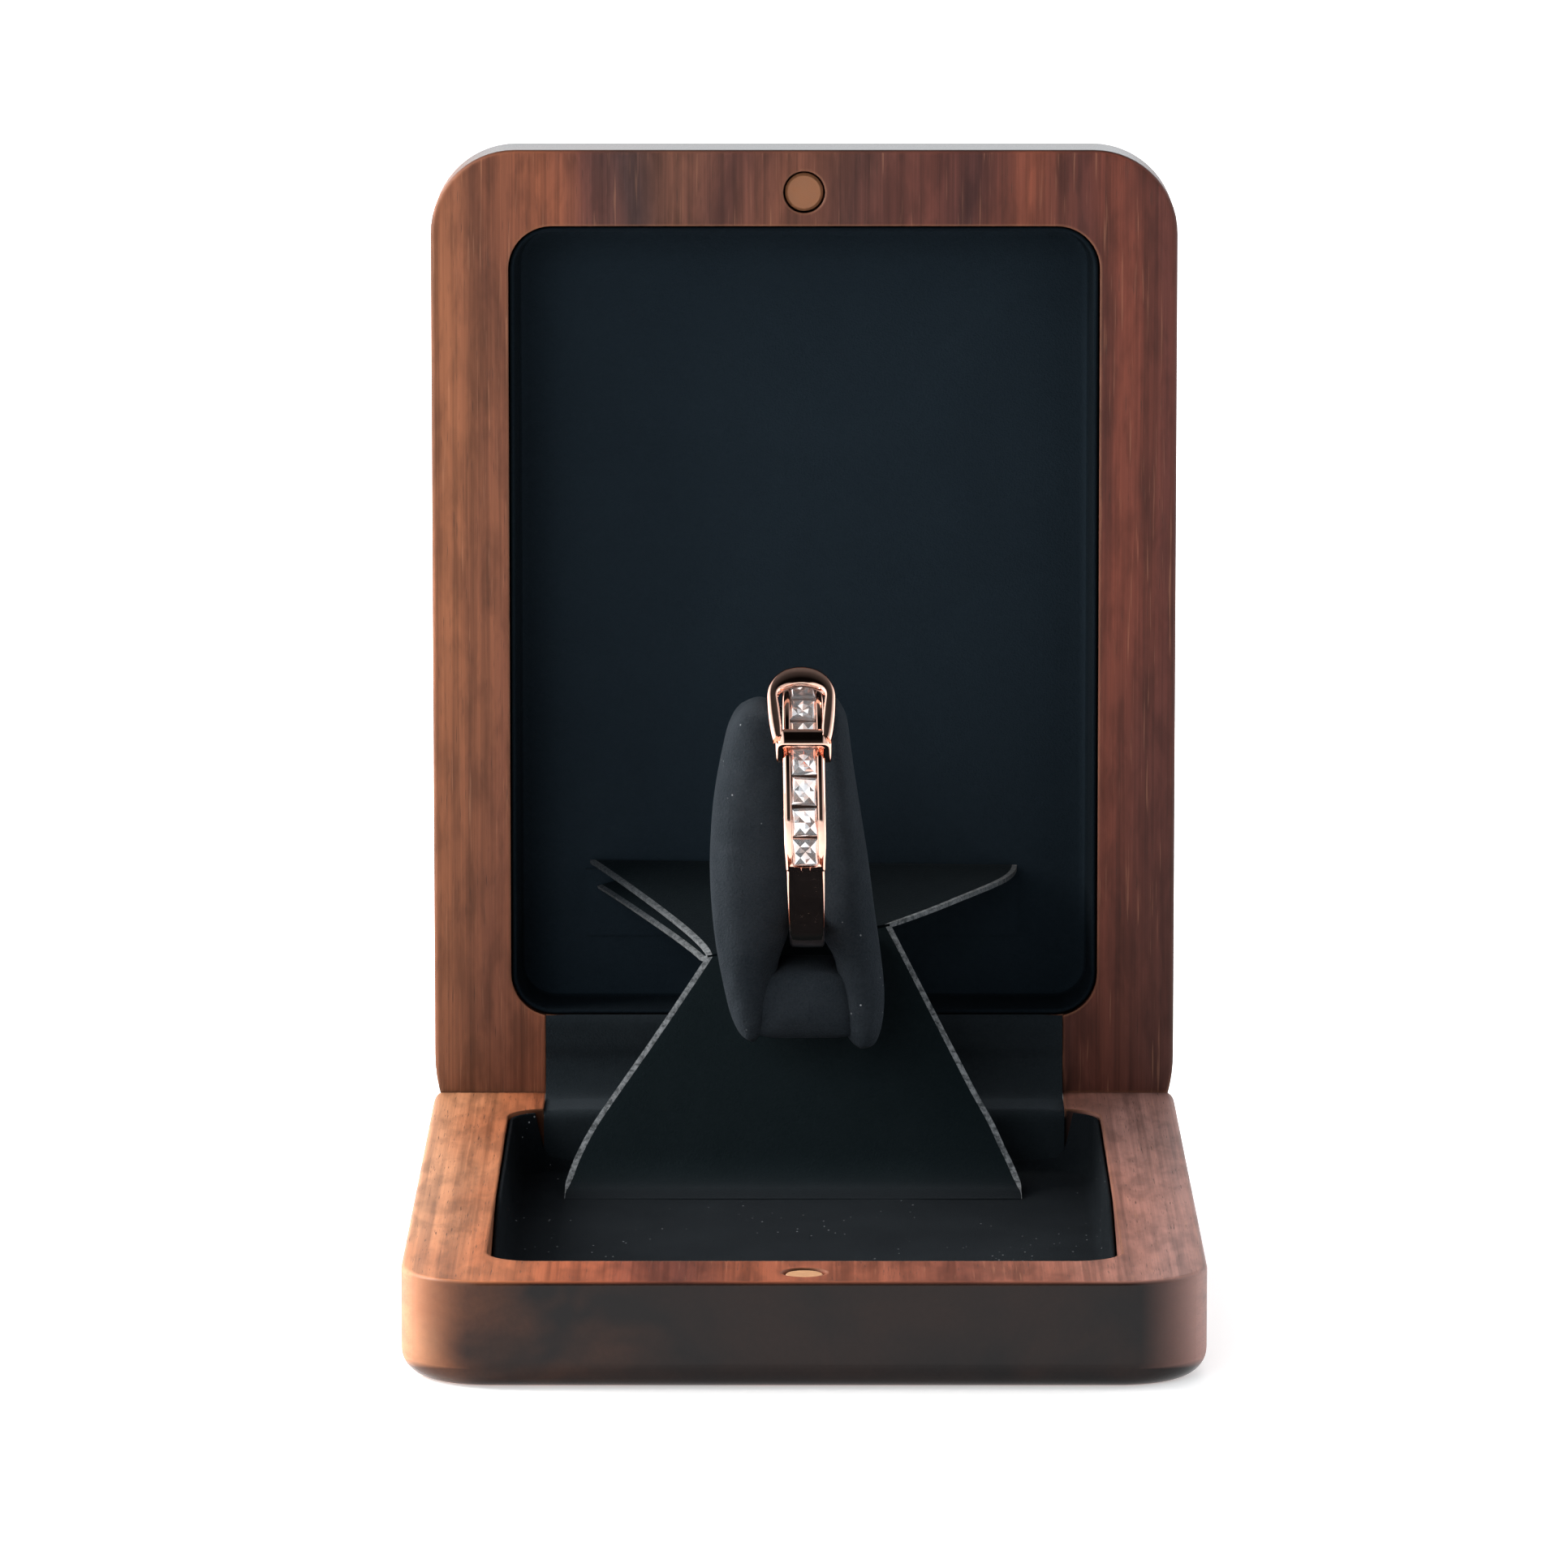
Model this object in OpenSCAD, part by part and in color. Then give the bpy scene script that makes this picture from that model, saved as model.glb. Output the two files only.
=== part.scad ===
// Slim folding ring box of solid walnut, open at a right angle, with a ring in its slit cushion.
// A two-panel pop-up card carries the cushion: as the lid comes down the card folds away
// and the cushion tips over to its left, so that the ring lies flat inside.
// Millimetres. The origin is the centre of the base's underside. X runs left to right,
// Y runs from the front edge to the hinge, and Z is up.

/* [Box halves] */
// Width of the box, left to right
box_w = 55; // [54:0.5:58]
// Length of each half, free edge to hinge edge
half_l = 70.4; // [69:0.2:74]
// Thickness of each half
half_t = 7.5; // [7.5:0.05:7.8]
// Seam left between the closed halves
seam = 0.1; // [0.1:0.05:0.2]
// Gap between the base's hinge edge and the lid's face when open
open_gap = 0.2; // [0.2:0.05:0.3]
// How far the lid's hinge edge stands below the base's rims when open
open_drop = 0.05; // [0:0.05:0.1]
// Plan radius of the two free corners
corner_r = 6.2; // [5:0.1:8]
// Plan radius of the two slightly eased hinge corners
hinge_corner_r = 11.5; // [10:0.5:14]
// How far the hinge corners are eased along the sides
hinge_corner_l = 3; // [2:0.5:4]
// Round-over along the outer edges
edge_r = 1.8; // [1:0.1:1.8]
// Round-over along the outer hinge edges
hinge_edge_r = 0.8; // [0.4:0.1:1.2]
// Small round-over along the edges that meet when the box is shut
rim_ease_r = 0.3; // [0.1:0.05:0.5]

/* [Pockets] */
// Width of both pockets
pocket_w = 43.6; // [43:0.2:45]
// Plan radius of the pockets' corners
pocket_r = 3.2; // [2.5:0.1:4]
// Rim left at the free edge of the base
base_front_rim = 7; // [6:0.1:7.5]
// Rim left at the hinge edge of the base
base_hinge_rim = 6.5; // [6:0.1:7]
// Rim left at the free edge of the lid
lid_free_rim = 5.6; // [5.2:0.1:6]
// Rim left at the hinge edge of the lid
lid_hinge_rim = 5.8; // [5.2:0.1:6.2]
// Wood left under the base's pocket
base_floor_t = 2.4; // [2:0.1:2.4]
// Wood left behind the lid's pocket
lid_floor_t = 1.6; // [1.4:0.1:1.6]
// Thickness of the base's floor lining
base_lining_t = 0.6; // [0.4:0.1:0.6]
// Thickness of the lid's lining
lid_lining_t = 0.5; // [0.4:0.1:0.5]
// Gap round a lining
lining_gap = 0.15; // [0.1:0.05:0.3]

/* [Hinge strip] */
// Width of the suede hinge strip
strip_w = 38.5; // [30:0.5:40]
// Thickness of the suede
strip_t = 0.5; // [0.3:0.1:0.5]
// Depth of the rebate that the strip lies in
strip_rebate = 0.55; // [0.5:0.05:0.7]

/* [Magnets] */
// Diameter of a closing magnet
magnet_d = 2.8; // [2.4:0.1:2.8]
// Thickness of a closing magnet
magnet_t = 2; // [1.5:0.1:2.2]
// Diameter of the blind hole round it
magnet_hole_d = 3.1; // [3:0.1:3.4]
// Magnet's centre from the free edge
magnet_inset = 3.1; // [2.8:0.1:3.3]

/* [Pop-up card] */
// Thickness of the card
card_t = 0.4; // [0.3:0.05:0.45]
// Lower fold line, in front of the hinge
foot_y = 21.2; // [20.5:0.1:21.6]
// Upper fold line, above the base's underside when open
head_z = 24.1; // [23.8:0.1:24.3]
// Gap between a fold line and the lining under it
fold_lift = 0.4; // [0.35:0.05:0.45]
// Card cut back at the middle fold
waist_cut = 0.8; // [0.75:0.05:1]

/* [Ring cushion] */
// Width of the cushion across the ring
cushion_w = 9.5; // [9:0.1:9.5]
// Width of the slit
slit_w = 3.4; // [3.4:0.1:3.6]
// Lowest point of the cushion when open
cushion_z = 14; // [13.8:0.1:14.4]
// Height of the cushion when open
cushion_h = 25.6; // [24:0.2:25.8]
// Front of the cushion
cushion_front = 13.5; // [13.3:0.1:14]
// Sideways offset of the tipping axis
tip_x = 3; // [2.8:0.1:3.1]

/* [Ring] */
// Inner diameter of the ring
ring_id = 17.3; // [17:0.1:17.4]
// Outer diameter of the plain shank
ring_od = 19.8; // [19.6:0.1:19.9]
// Width of the plain shank
shank_w = 2.6; // [2.4:0.1:2.8]
// Width of the belt that holds the stones
belt_w = 3; // [2.9:0.05:3]
// Ring centre, in front of the origin's plane towards the hinge
ring_y = 11.8; // [11.6:0.1:11.9]
// Ring centre above the base's underside
ring_z = 32.5; // [32.3:0.1:32.6]

/* [Hidden] */

round_fn = 96;
small_fn = 48;
overshoot = 1;

walnut = "#8a4f38";
suede = "#1b2126";
card_grey = "#a9abb0";
copper = "#c07a4a";
rose_gold = "#d99a82";
diamond = "#e8eef2";

// The hinge line is where a right-angle turn brings the open lid to lie flush with the base,
// one seam above it.
hinge_y = half_l / 2 + (open_gap - seam - open_drop) / 2;
hinge_z = half_t + (seam - open_drop - open_gap) / 2;
lid_face_y = half_l / 2 + open_gap;
lid_edge_z = half_t - open_drop;

// Depth of the lid lining's edge below the lid's face
lining_drop = 0.4;

// Side linings of the base rise from a low front end to just under the rim
side_lining_low = 1.5;
side_lining_top = half_t - 0.2;
side_lining_run = 25;

// Inner faces of the linings
base_floor_z = base_floor_t + base_lining_t;
lid_depth = half_t - lid_floor_t - lid_lining_t;
lid_back_y = lid_face_y + lid_depth;

// Fold lines of the pop-up card: foot on the base, head on the lid, waist between them.
// The four lines through hinge, foot, head and waist are a parallelogram, so the card
// folds flat with the lid.
foot_z = base_floor_z + fold_lift;
head_y = lid_back_y - fold_lift;
waist_y = foot_y + head_y - hinge_y;
waist_z = foot_z + head_z - hinge_z;
lower_len = norm([waist_y - foot_y, waist_z - foot_z]);
upper_len = norm([head_y - waist_y, head_z - waist_z]);
lower_angle = atan2(waist_z - foot_z, waist_y - foot_y);
upper_angle = atan2(head_z - waist_z, head_y - waist_y);

// Half-widths of the card at its fold lines, left and right of the middle
foot_left = 17.4;
foot_right = 15.8;
knee_left = 16;
knee_v = 3.4;
waist_left = 7;
waist_right = 6.2;
head_left = 16.4;
head_right = 16;
fold_start = 0.35;
foot_cut = 0.4;
flap_t = 0.3;
lower_flap_l = 3.6;
lower_flap_gap = 0.8;
upper_flap_l = 5;
upper_flap_gap = 0.6;
ply_spread = 8;
ply_inner = 3.4;

// Tongue that stands up from the waist behind the cushion
tongue_front = 23.55;
tongue_low = waist_z + 0.4;
tongue_high = 24;
tongue_lap = 2.8;
tongue_left = 5.8;
tongue_right = 5;

// Cushion
pad_w = (cushion_w - slit_w) / 2;
pad_r = 1.35;
cushion_back = 22.4;
backing_t = 0.7;
backing_w = 8.8;
lower_pad_z = 15.7;
lower_pad_h = 3.8;
lower_pad_front = 14.5;

// Height of the closed hollow's middle, and how far the waist sinks on the way there
fold_drop = waist_z - (foot_z + head_y - hinge_y);
hollow_mid = (base_floor_z + half_t + seam + lid_depth) / 2;
tip_z = hollow_mid + fold_drop + tip_x;

// Rivet that the cushion turns on, with running clearance in the backing
rivet_r = 0.9;
rivet_clearance = 0.05;
rivet_collar_r = 1.5;
rivet_collar_t = 0.35;
rivet_l = 0.95;

// Ring: angles are taken from straight ahead, rising over the top
ring_ri = ring_id / 2;
ring_ro = ring_od / 2;
belt_ro = ring_ro + 0.25;
belt_from = -17.5;
belt_to = 121;
belt_wall = 0.56;
belt_seat = 0.75;
stone_w = belt_w - 2 * belt_wall;
stone_l = 2.02;
stone_pitch = 12.6;
stone_proud = 0.15;
stone_gap = 0.04;
keeper_from = 33;
keeper_to = 39;
keeper_side = 0.45;
keeper_ri = 9.6;
keeper_ro = 11.1;
buckle_angle = 52;
buckle_ri = belt_ro + stone_proud + 0.08;
buckle_t = 0.6;
buckle_r = 2.5;
buckle_y = 1;
buckle_top_r = 2.1;
buckle_top_rise = 0.9;
buckle_hole_r = 1.7;
buckle_hole_y = 0.55;
buckle_foot = -2.38;
buckle_foot_w = 2.2;
buckle_foot_hole_w = 1.45;

// Plan of a rounded rectangle, centred
module rounded_rect(w, l, r) {
    square([w, l - 2 * r], center = true);
    square([w - 2 * r, l], center = true);
    for (sx = [-1, 1], sy = [-1, 1])
        translate([sx * (w / 2 - r), sy * (l / 2 - r)]) circle(r, $fn = round_fn);
}

// Cross-section of a half, rounded over at the outer edges and eased at the rims
module half_section(w) {
    translate([-w / 2, edge_r]) square([w, half_t - edge_r - rim_ease_r]);
    translate([edge_r - w / 2, 0]) square([w - 2 * edge_r, half_t]);
    translate([rim_ease_r - w / 2, edge_r]) square([w - 2 * rim_ease_r, half_t - edge_r]);
    for (sx = [-1, 1]) {
        translate([sx * (w / 2 - edge_r), edge_r]) circle(edge_r, $fn = round_fn);
        translate([sx * (w / 2 - rim_ease_r), half_t - rim_ease_r])
            circle(rim_ease_r, $fn = small_fn);
    }
}

// Solid of revolution under one free corner
module corner_post() {
    rotate_extrude($fn = round_fn) {
        translate([0, edge_r]) square([corner_r, half_t - edge_r - rim_ease_r]);
        square([corner_r - edge_r, half_t]);
        translate([0, edge_r]) square([corner_r - rim_ease_r, half_t - edge_r]);
        translate([corner_r - edge_r, edge_r]) circle(edge_r, $fn = round_fn);
        translate([corner_r - rim_ease_r, half_t - rim_ease_r])
            circle(rim_ease_r, $fn = small_fn);
    }
}

// Piece that eases one hinge corner when it is cut away
module hinge_corner_cutter() {
    translate([box_w / 2 - hinge_corner_r, -hinge_corner_l, -overshoot]) difference() {
        cube([hinge_corner_r + overshoot, hinge_corner_l + overshoot, half_t + 2 * overshoot]);
        translate([0, 0, -overshoot])
            cylinder(r = hinge_corner_r, h = half_t + 4 * overshoot, $fn = 4 * round_fn);
    }
}

// Piece that rounds over the outer hinge edge when it is cut away
module hinge_edge_cutter() {
    translate([-box_w / 2 - overshoot, 0, 0]) rotate([90, 0, 90])
        linear_extrude(box_w + 2 * overshoot) difference() {
            translate([-hinge_edge_r, -overshoot])
                square([hinge_edge_r + overshoot, hinge_edge_r + overshoot]);
            translate([-hinge_edge_r, hinge_edge_r]) circle(hinge_edge_r, $fn = small_fn);
        }
}

// One half of the box, outer face down, hinge edge at y = 0 and the free edge in front
module half(free_rim, hinge_rim, floor_t) {
    pocket_l = half_l - free_rim - hinge_rim;
    difference() {
        union() {
            rotate([90, 0, 0]) linear_extrude(half_l - corner_r) half_section(box_w);
            translate([corner_r - box_w / 2, corner_r - half_l, 0]) rotate([90, 0, 90])
                linear_extrude(box_w - 2 * corner_r) intersection() {
                    translate([half_l / 2 - corner_r, 0]) half_section(half_l);
                    translate([-corner_r - overshoot, -overshoot])
                        square([2 * corner_r + overshoot, half_t + 2 * overshoot]);
                }
            for (sx = [-1, 1])
                translate([sx * (box_w / 2 - corner_r), corner_r - half_l, 0]) corner_post();
        }
        for (sx = [0, 1]) mirror([sx, 0, 0]) hinge_corner_cutter();
        hinge_edge_cutter();
        translate([0, -hinge_rim - pocket_l / 2, floor_t])
            linear_extrude(half_t) rounded_rect(pocket_w, pocket_l, pocket_r);
        translate([-strip_w / 2, -hinge_rim - overshoot, half_t - strip_rebate])
            cube([strip_w, hinge_rim + 2 * overshoot, half_t]);
        translate([0, magnet_inset - half_l, half_t - magnet_t - 0.1])
            cylinder(d = magnet_hole_d, h = half_t, $fn = small_fn);
    }
}

// Magnet disc with its rim broken, in the half's own frame
module magnet() {
    chamfer = 0.2;
    translate([0, magnet_inset - half_l, half_t - magnet_t - 0.1])
        rotate_extrude($fn = small_fn) polygon([
            [0, 0], [magnet_d / 2, 0], [magnet_d / 2, magnet_t - chamfer],
            [magnet_d / 2 - chamfer, magnet_t], [0, magnet_t]
        ]);
}

// Suede strip glued into one half's rebate, in the half's own frame
module half_strip(hinge_rim) {
    translate([lining_gap - strip_w / 2, -hinge_rim, half_t - strip_rebate])
        cube([strip_w - 2 * lining_gap, hinge_rim, strip_t]);
}

module place_base() translate([0, half_l / 2, 0]) children();

module place_lid() translate([0, lid_face_y + half_t, lid_edge_z]) rotate([-90, 0, 180]) children();

module base_tray() {
    color(walnut) place_base() half(base_front_rim, base_hinge_rim, base_floor_t);
}

module lid_tray() {
    color(walnut) place_lid() half(lid_free_rim, lid_hinge_rim, lid_floor_t);
}

module base_magnet() {
    color(copper) place_base() magnet();
}

module lid_magnet() {
    color(copper) place_lid() magnet();
}

module base_hinge_strip() {
    color(suede) place_base() half_strip(base_hinge_rim);
}

module lid_hinge_strip() {
    color(suede) place_lid() half_strip(lid_hinge_rim);
}

// Suede-covered card on the base's floor
module base_floor_lining() {
    pocket_l = half_l - base_front_rim - base_hinge_rim;
    color(suede) place_base() translate([0, -base_hinge_rim - pocket_l / 2, base_floor_t])
        linear_extrude(base_lining_t) rounded_rect(
            pocket_w - 2 * lining_gap, pocket_l - 2 * lining_gap, pocket_r - lining_gap);
}

// Suede-covered card against one side wall of the base pocket, rising towards the hinge
module side_lining(side) {
    front = base_front_rim + pocket_r - half_l;
    back = -base_hinge_rim - pocket_r;
    inner = pocket_w / 2 - lining_gap - strip_t;
    color(suede) place_base() mirror([side < 0 ? 1 : 0, 0, 0]) translate([inner, 0, 0])
        rotate([90, 0, 90]) linear_extrude(strip_t) polygon([
            [front, base_floor_z], [back, base_floor_z], [back, side_lining_top],
            [front + side_lining_run, side_lining_top], [front, base_floor_z + side_lining_low]
        ]);
}

module base_left_lining() side_lining(-1);

module base_right_lining() side_lining(1);

// Suede that runs up the base pocket's rear wall to the hinge strip
module base_rear_lining() {
    color(suede) place_base()
        translate([pocket_r - pocket_w / 2, -base_hinge_rim - strip_t, base_floor_z])
            cube([pocket_w - 2 * pocket_r, strip_t, half_t - strip_rebate - base_floor_z]);
}

// Suede pan that lines the lid's floor and walls
module lid_lining() {
    pocket_l = half_l - lid_free_rim - lid_hinge_rim;
    wall_h = half_t - lid_floor_t - lining_drop;
    middle = -lid_hinge_rim - pocket_l / 2;
    color(suede) place_lid() translate([0, middle, lid_floor_t]) difference() {
        linear_extrude(wall_h) rounded_rect(
            pocket_w - 2 * lining_gap, pocket_l - 2 * lining_gap, pocket_r - lining_gap);
        translate([0, 0, lid_lining_t]) linear_extrude(half_t) rounded_rect(
            pocket_w - 2 * lining_gap - 2 * strip_t, pocket_l - 2 * lining_gap - 2 * strip_t,
            pocket_r - lining_gap - strip_t);
    }
}

// Card lying along the Y axis from a fold line, tilted up by an angle about that line
module tilted_card(y, z, angle, t) {
    translate([0, y, z]) rotate([angle, 0, 0]) translate([0, 0, -t / 2]) linear_extrude(t) children();
}

// Flap of the lower panel, glued to the base's floor in front of the fold
module lower_glue_flap() {
    color(suede)
        translate([-foot_left, foot_y - lower_flap_gap - lower_flap_l, base_floor_z])
            cube([foot_left + foot_right, lower_flap_l, flap_t]);
}

module lower_panel() {
    high = lower_len - foot_cut;
    color(suede) tilted_card(foot_y, foot_z, lower_angle, card_t) polygon([
        [-foot_left, fold_start], [-knee_left, knee_v], [-waist_left, high],
        [waist_right, high], [foot_right, fold_start]
    ]);
}

// Flap of the upper panel, glued to the lid's lining under the fold
module upper_glue_flap() {
    color(suede)
        translate([-head_left, lid_back_y - flap_t, head_z - upper_flap_gap - upper_flap_l])
            cube([head_left + head_right, flap_t, upper_flap_l]);
}

module upper_panel() {
    far = upper_len - fold_start;
    color(suede) tilted_card(waist_y, waist_z, upper_angle, card_t) polygon([
        [-waist_left, waist_cut], [-head_left, far], [head_right, far], [waist_right, waist_cut]
    ]);
}

// Second ply that spreads from under the upper panel's left and right edges
module upper_side_ply() {
    near = waist_cut + 3;
    far = upper_len - 1.2;
    for (side = [[-1, waist_left, head_left], [1, waist_right, head_right]])
        color(card_grey) tilted_card(waist_y, waist_z, upper_angle - ply_spread, card_t)
            polygon([
                [side[0] * side[1], near], [side[0] * (side[2] - 0.8), far],
                [side[0] * (side[2] - ply_inner), far], [side[0] * (side[1] - ply_inner), near]
            ]);
}

// Tongue of card that laps the upper panel and stands up behind the cushion
module waist_tongue() {
    slope = tan(upper_angle);
    top = card_t / 2 / cos(upper_angle);
    lap_from = waist_cut * cos(upper_angle);
    lap_to = lap_from + tongue_lap;
    color(suede) translate([-tongue_left, 0, 0]) rotate([90, 0, 90])
        linear_extrude(tongue_left + tongue_right) polygon([
            [tongue_front, tongue_low], [waist_y + lap_from, waist_z + top + slope * lap_from],
            [waist_y + lap_to, waist_z + top + slope * lap_to],
            [waist_y + lap_to, waist_z + top + slope * lap_to + card_t],
            [waist_y + lap_from, waist_z + top + slope * lap_from + card_t],
            [tongue_front + card_t, tongue_low + card_t], [tongue_front + card_t, tongue_high],
            [tongue_front, tongue_high]
        ]);
}

// Extrudes an outline drawn in X and Z along Y, from front to back
module along_y(front, back) {
    translate([0, back, 0]) rotate([90, 0, 0]) linear_extrude(back - front) children();
}

module cushion_pad(side) {
    color(suede) along_y(cushion_front, cushion_back)
        translate([side * (slit_w + pad_w) / 2, cushion_z + cushion_h / 2])
            rounded_rect(pad_w, cushion_h, pad_r);
}

module cushion_left_pad() cushion_pad(-1);

module cushion_right_pad() cushion_pad(1);

// Short pad that closes the slit below the ring
module cushion_lower_pad() {
    color(suede) along_y(lower_pad_front, cushion_back)
        translate([-slit_w / 2, lower_pad_z]) square([slit_w, lower_pad_h]);
}

// Suede-covered card that the pads are glued to, with the hole that it turns on
module cushion_backing() {
    color(suede) difference() {
        along_y(cushion_back, cushion_back + backing_t)
            translate([0, cushion_z + cushion_h / 2]) rounded_rect(backing_w, cushion_h - 0.6, 2);
        translate([tip_x, cushion_back - overshoot, tip_z]) rotate([-90, 0, 0])
            cylinder(r = rivet_r + rivet_clearance, h = backing_t + 2 * overshoot, $fn = small_fn);
    }
}

// Small collared rivet on the tongue that the cushion tips over on
module turning_rivet() {
    color(copper) translate([tip_x, tongue_front, tip_z]) rotate([90, 0, 0]) {
        cylinder(r = rivet_r, h = rivet_l, $fn = small_fn);
        cylinder(r = rivet_collar_r, h = rivet_collar_t, $fn = small_fn);
    }
}

// Turns a ring drawn round Z into its place: X becomes straight ahead and Y becomes up
module place_ring() translate([0, ring_y, ring_z]) rotate([90, 0, -90]) children();

// Part of a band round Z between two angles, from a cross-section of radius and width
module arc_band(from, to) {
    rotate([0, 0, from]) rotate_extrude(angle = to - from, $fn = round_fn) children();
}

// Frame that stands on the band at an angle: X across the band, Y along it, Z outwards
module on_band(angle, r) {
    rotate([0, 0, angle]) translate([r, 0, 0]) rotate([0, 90, 0]) children();
}

// Plain band, domed outside, that closes the ring behind and below the belt
module ring_shank() {
    dome_r = 6;
    color(rose_gold) place_ring() arc_band(belt_to, 360 + belt_from) intersection() {
        translate([ring_ri, -shank_w / 2]) square([ring_ro - ring_ri, shank_w]);
        translate([ring_ro - dome_r, 0]) circle(dome_r, $fn = 2 * round_fn);
    }
}

// Wider band with a channel that holds the row of stones between two walls
module ring_belt() {
    color(rose_gold) place_ring() difference() {
        arc_band(belt_from, belt_to)
            translate([ring_ri, -belt_w / 2]) square([belt_ro - ring_ri, belt_w]);
        arc_band(belt_from + 2, belt_to - 2)
            translate([belt_ro - belt_seat, -stone_w / 2]) square([belt_seat + overshoot, stone_w]);
    }
}

// Square stones set one after another along the belt
module ring_stones() {
    count = floor((belt_to - belt_from - 4) / stone_pitch);
    start = belt_from + 2 + stone_pitch / 2 + 0.2;
    color(diamond) place_ring() for (i = [0 : count - 1])
        on_band(start + i * stone_pitch, belt_ro - belt_seat)
            translate([stone_gap - stone_w / 2, -stone_l / 2, 0])
                cube([stone_w - 2 * stone_gap, stone_l, belt_seat + stone_proud]);
}

// Flat outline of the buckle's loop, arch towards +Y
module horseshoe() {
    lean = asin((buckle_r - buckle_top_r) / buckle_top_rise);
    difference() {
        union() {
            translate([0, buckle_y]) circle(buckle_r, $fn = round_fn);
            translate([0, buckle_y + buckle_top_rise]) circle(buckle_top_r, $fn = round_fn);
            polygon([
                [-buckle_r * cos(lean), buckle_y + buckle_r * sin(lean)], [-buckle_r, buckle_y],
                [-buckle_foot_w, buckle_foot], [buckle_foot_w, buckle_foot],
                [buckle_r, buckle_y], [buckle_r * cos(lean), buckle_y + buckle_r * sin(lean)],
                [buckle_top_r * cos(lean), buckle_y + buckle_top_rise + buckle_top_r * sin(lean)],
                [-buckle_top_r * cos(lean), buckle_y + buckle_top_rise + buckle_top_r * sin(lean)]
            ]);
        }
        translate([0, buckle_hole_y]) circle(buckle_hole_r, $fn = round_fn);
        polygon([
            [-buckle_hole_r, buckle_hole_y], [-buckle_foot_hole_w, buckle_foot - overshoot],
            [buckle_foot_hole_w, buckle_foot - overshoot], [buckle_hole_r, buckle_hole_y]
        ]);
    }
}

// Flat horseshoe loop of the buckle, standing on the keeper and clear over the belt
module ring_buckle() {
    color(rose_gold) place_ring() on_band(buckle_angle, buckle_ri)
        linear_extrude(buckle_t) horseshoe();
}

// Keeper that straddles the belt below the buckle
module ring_keeper() {
    half_w = belt_w / 2 + keeper_side;
    color(rose_gold) place_ring() arc_band(keeper_from, keeper_to) difference() {
        translate([keeper_ri, -half_w]) square([keeper_ro - keeper_ri, 2 * half_w]);
        translate([0, -belt_w / 2]) square([buckle_ri, belt_w]);
    }
}

base_tray();
base_floor_lining();
base_left_lining();
base_right_lining();
base_rear_lining();
base_magnet();
base_hinge_strip();
lid_tray();
lid_lining();
lid_magnet();
lid_hinge_strip();
lower_glue_flap();
lower_panel();
upper_glue_flap();
upper_panel();
upper_side_ply();
waist_tongue();
cushion_backing();
cushion_left_pad();
cushion_right_pad();
cushion_lower_pad();
turning_rivet();
ring_shank();
ring_belt();
ring_buckle();
ring_keeper();
ring_stones();
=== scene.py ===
import math

import bmesh
import bpy
from mathutils import Matrix, Vector, noise


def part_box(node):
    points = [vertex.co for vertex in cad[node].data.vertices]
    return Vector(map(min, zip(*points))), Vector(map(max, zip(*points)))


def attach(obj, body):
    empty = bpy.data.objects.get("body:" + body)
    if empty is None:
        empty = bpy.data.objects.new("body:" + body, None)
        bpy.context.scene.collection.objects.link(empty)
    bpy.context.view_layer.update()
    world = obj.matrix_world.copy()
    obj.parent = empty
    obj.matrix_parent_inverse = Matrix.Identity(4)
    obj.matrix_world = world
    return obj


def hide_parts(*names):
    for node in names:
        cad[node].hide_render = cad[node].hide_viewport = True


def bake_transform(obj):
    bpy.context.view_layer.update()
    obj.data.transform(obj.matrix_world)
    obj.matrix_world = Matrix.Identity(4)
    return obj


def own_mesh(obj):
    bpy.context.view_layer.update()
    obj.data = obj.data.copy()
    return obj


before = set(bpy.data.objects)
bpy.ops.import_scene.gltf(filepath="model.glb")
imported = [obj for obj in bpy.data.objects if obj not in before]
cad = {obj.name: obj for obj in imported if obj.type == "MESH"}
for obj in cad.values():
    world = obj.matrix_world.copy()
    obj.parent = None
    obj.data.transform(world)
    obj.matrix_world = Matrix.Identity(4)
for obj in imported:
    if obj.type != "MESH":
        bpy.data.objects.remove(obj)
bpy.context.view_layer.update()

MM = 0.001
scene = bpy.context.scene


def box_mm(node):
    """Lowest and highest corner of a CAD node, in millimetres."""
    low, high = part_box(node)
    return low / MM, high / MM


# ---------------------------------------------------------------- meshes


def add_mesh(name, points, faces, sharp=40):
    """A mesh object from points in millimetres, smooth except at edges sharper than sharp."""
    mesh = bpy.data.meshes.new(name)
    mesh.from_pydata([Vector(p) * MM for p in points], [], faces)
    bm = bmesh.new()
    bm.from_mesh(mesh)
    bmesh.ops.recalc_face_normals(bm, faces=bm.faces)
    bm.to_mesh(mesh)
    bm.free()
    mesh.shade_smooth()
    mesh.set_sharp_from_angle(angle=math.radians(sharp))
    obj = bpy.data.objects.new(name, mesh)
    scene.collection.objects.link(obj)
    return obj


def loft(rings, caps=True):
    """Points and faces that join closed rings of equal length, one to the next."""
    n = len(rings[0])
    points = [p for ring in rings for p in ring]
    faces = []
    for i in range(len(rings) - 1):
        for j in range(n):
            k = (j + 1) % n
            faces.append((i * n + j, i * n + k, (i + 1) * n + k, (i + 1) * n + j))
    if caps:
        last = (len(rings) - 1) * n
        faces.append(tuple(reversed(range(n))))
        faces.append(tuple(range(last, last + n)))
    return points, faces


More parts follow.
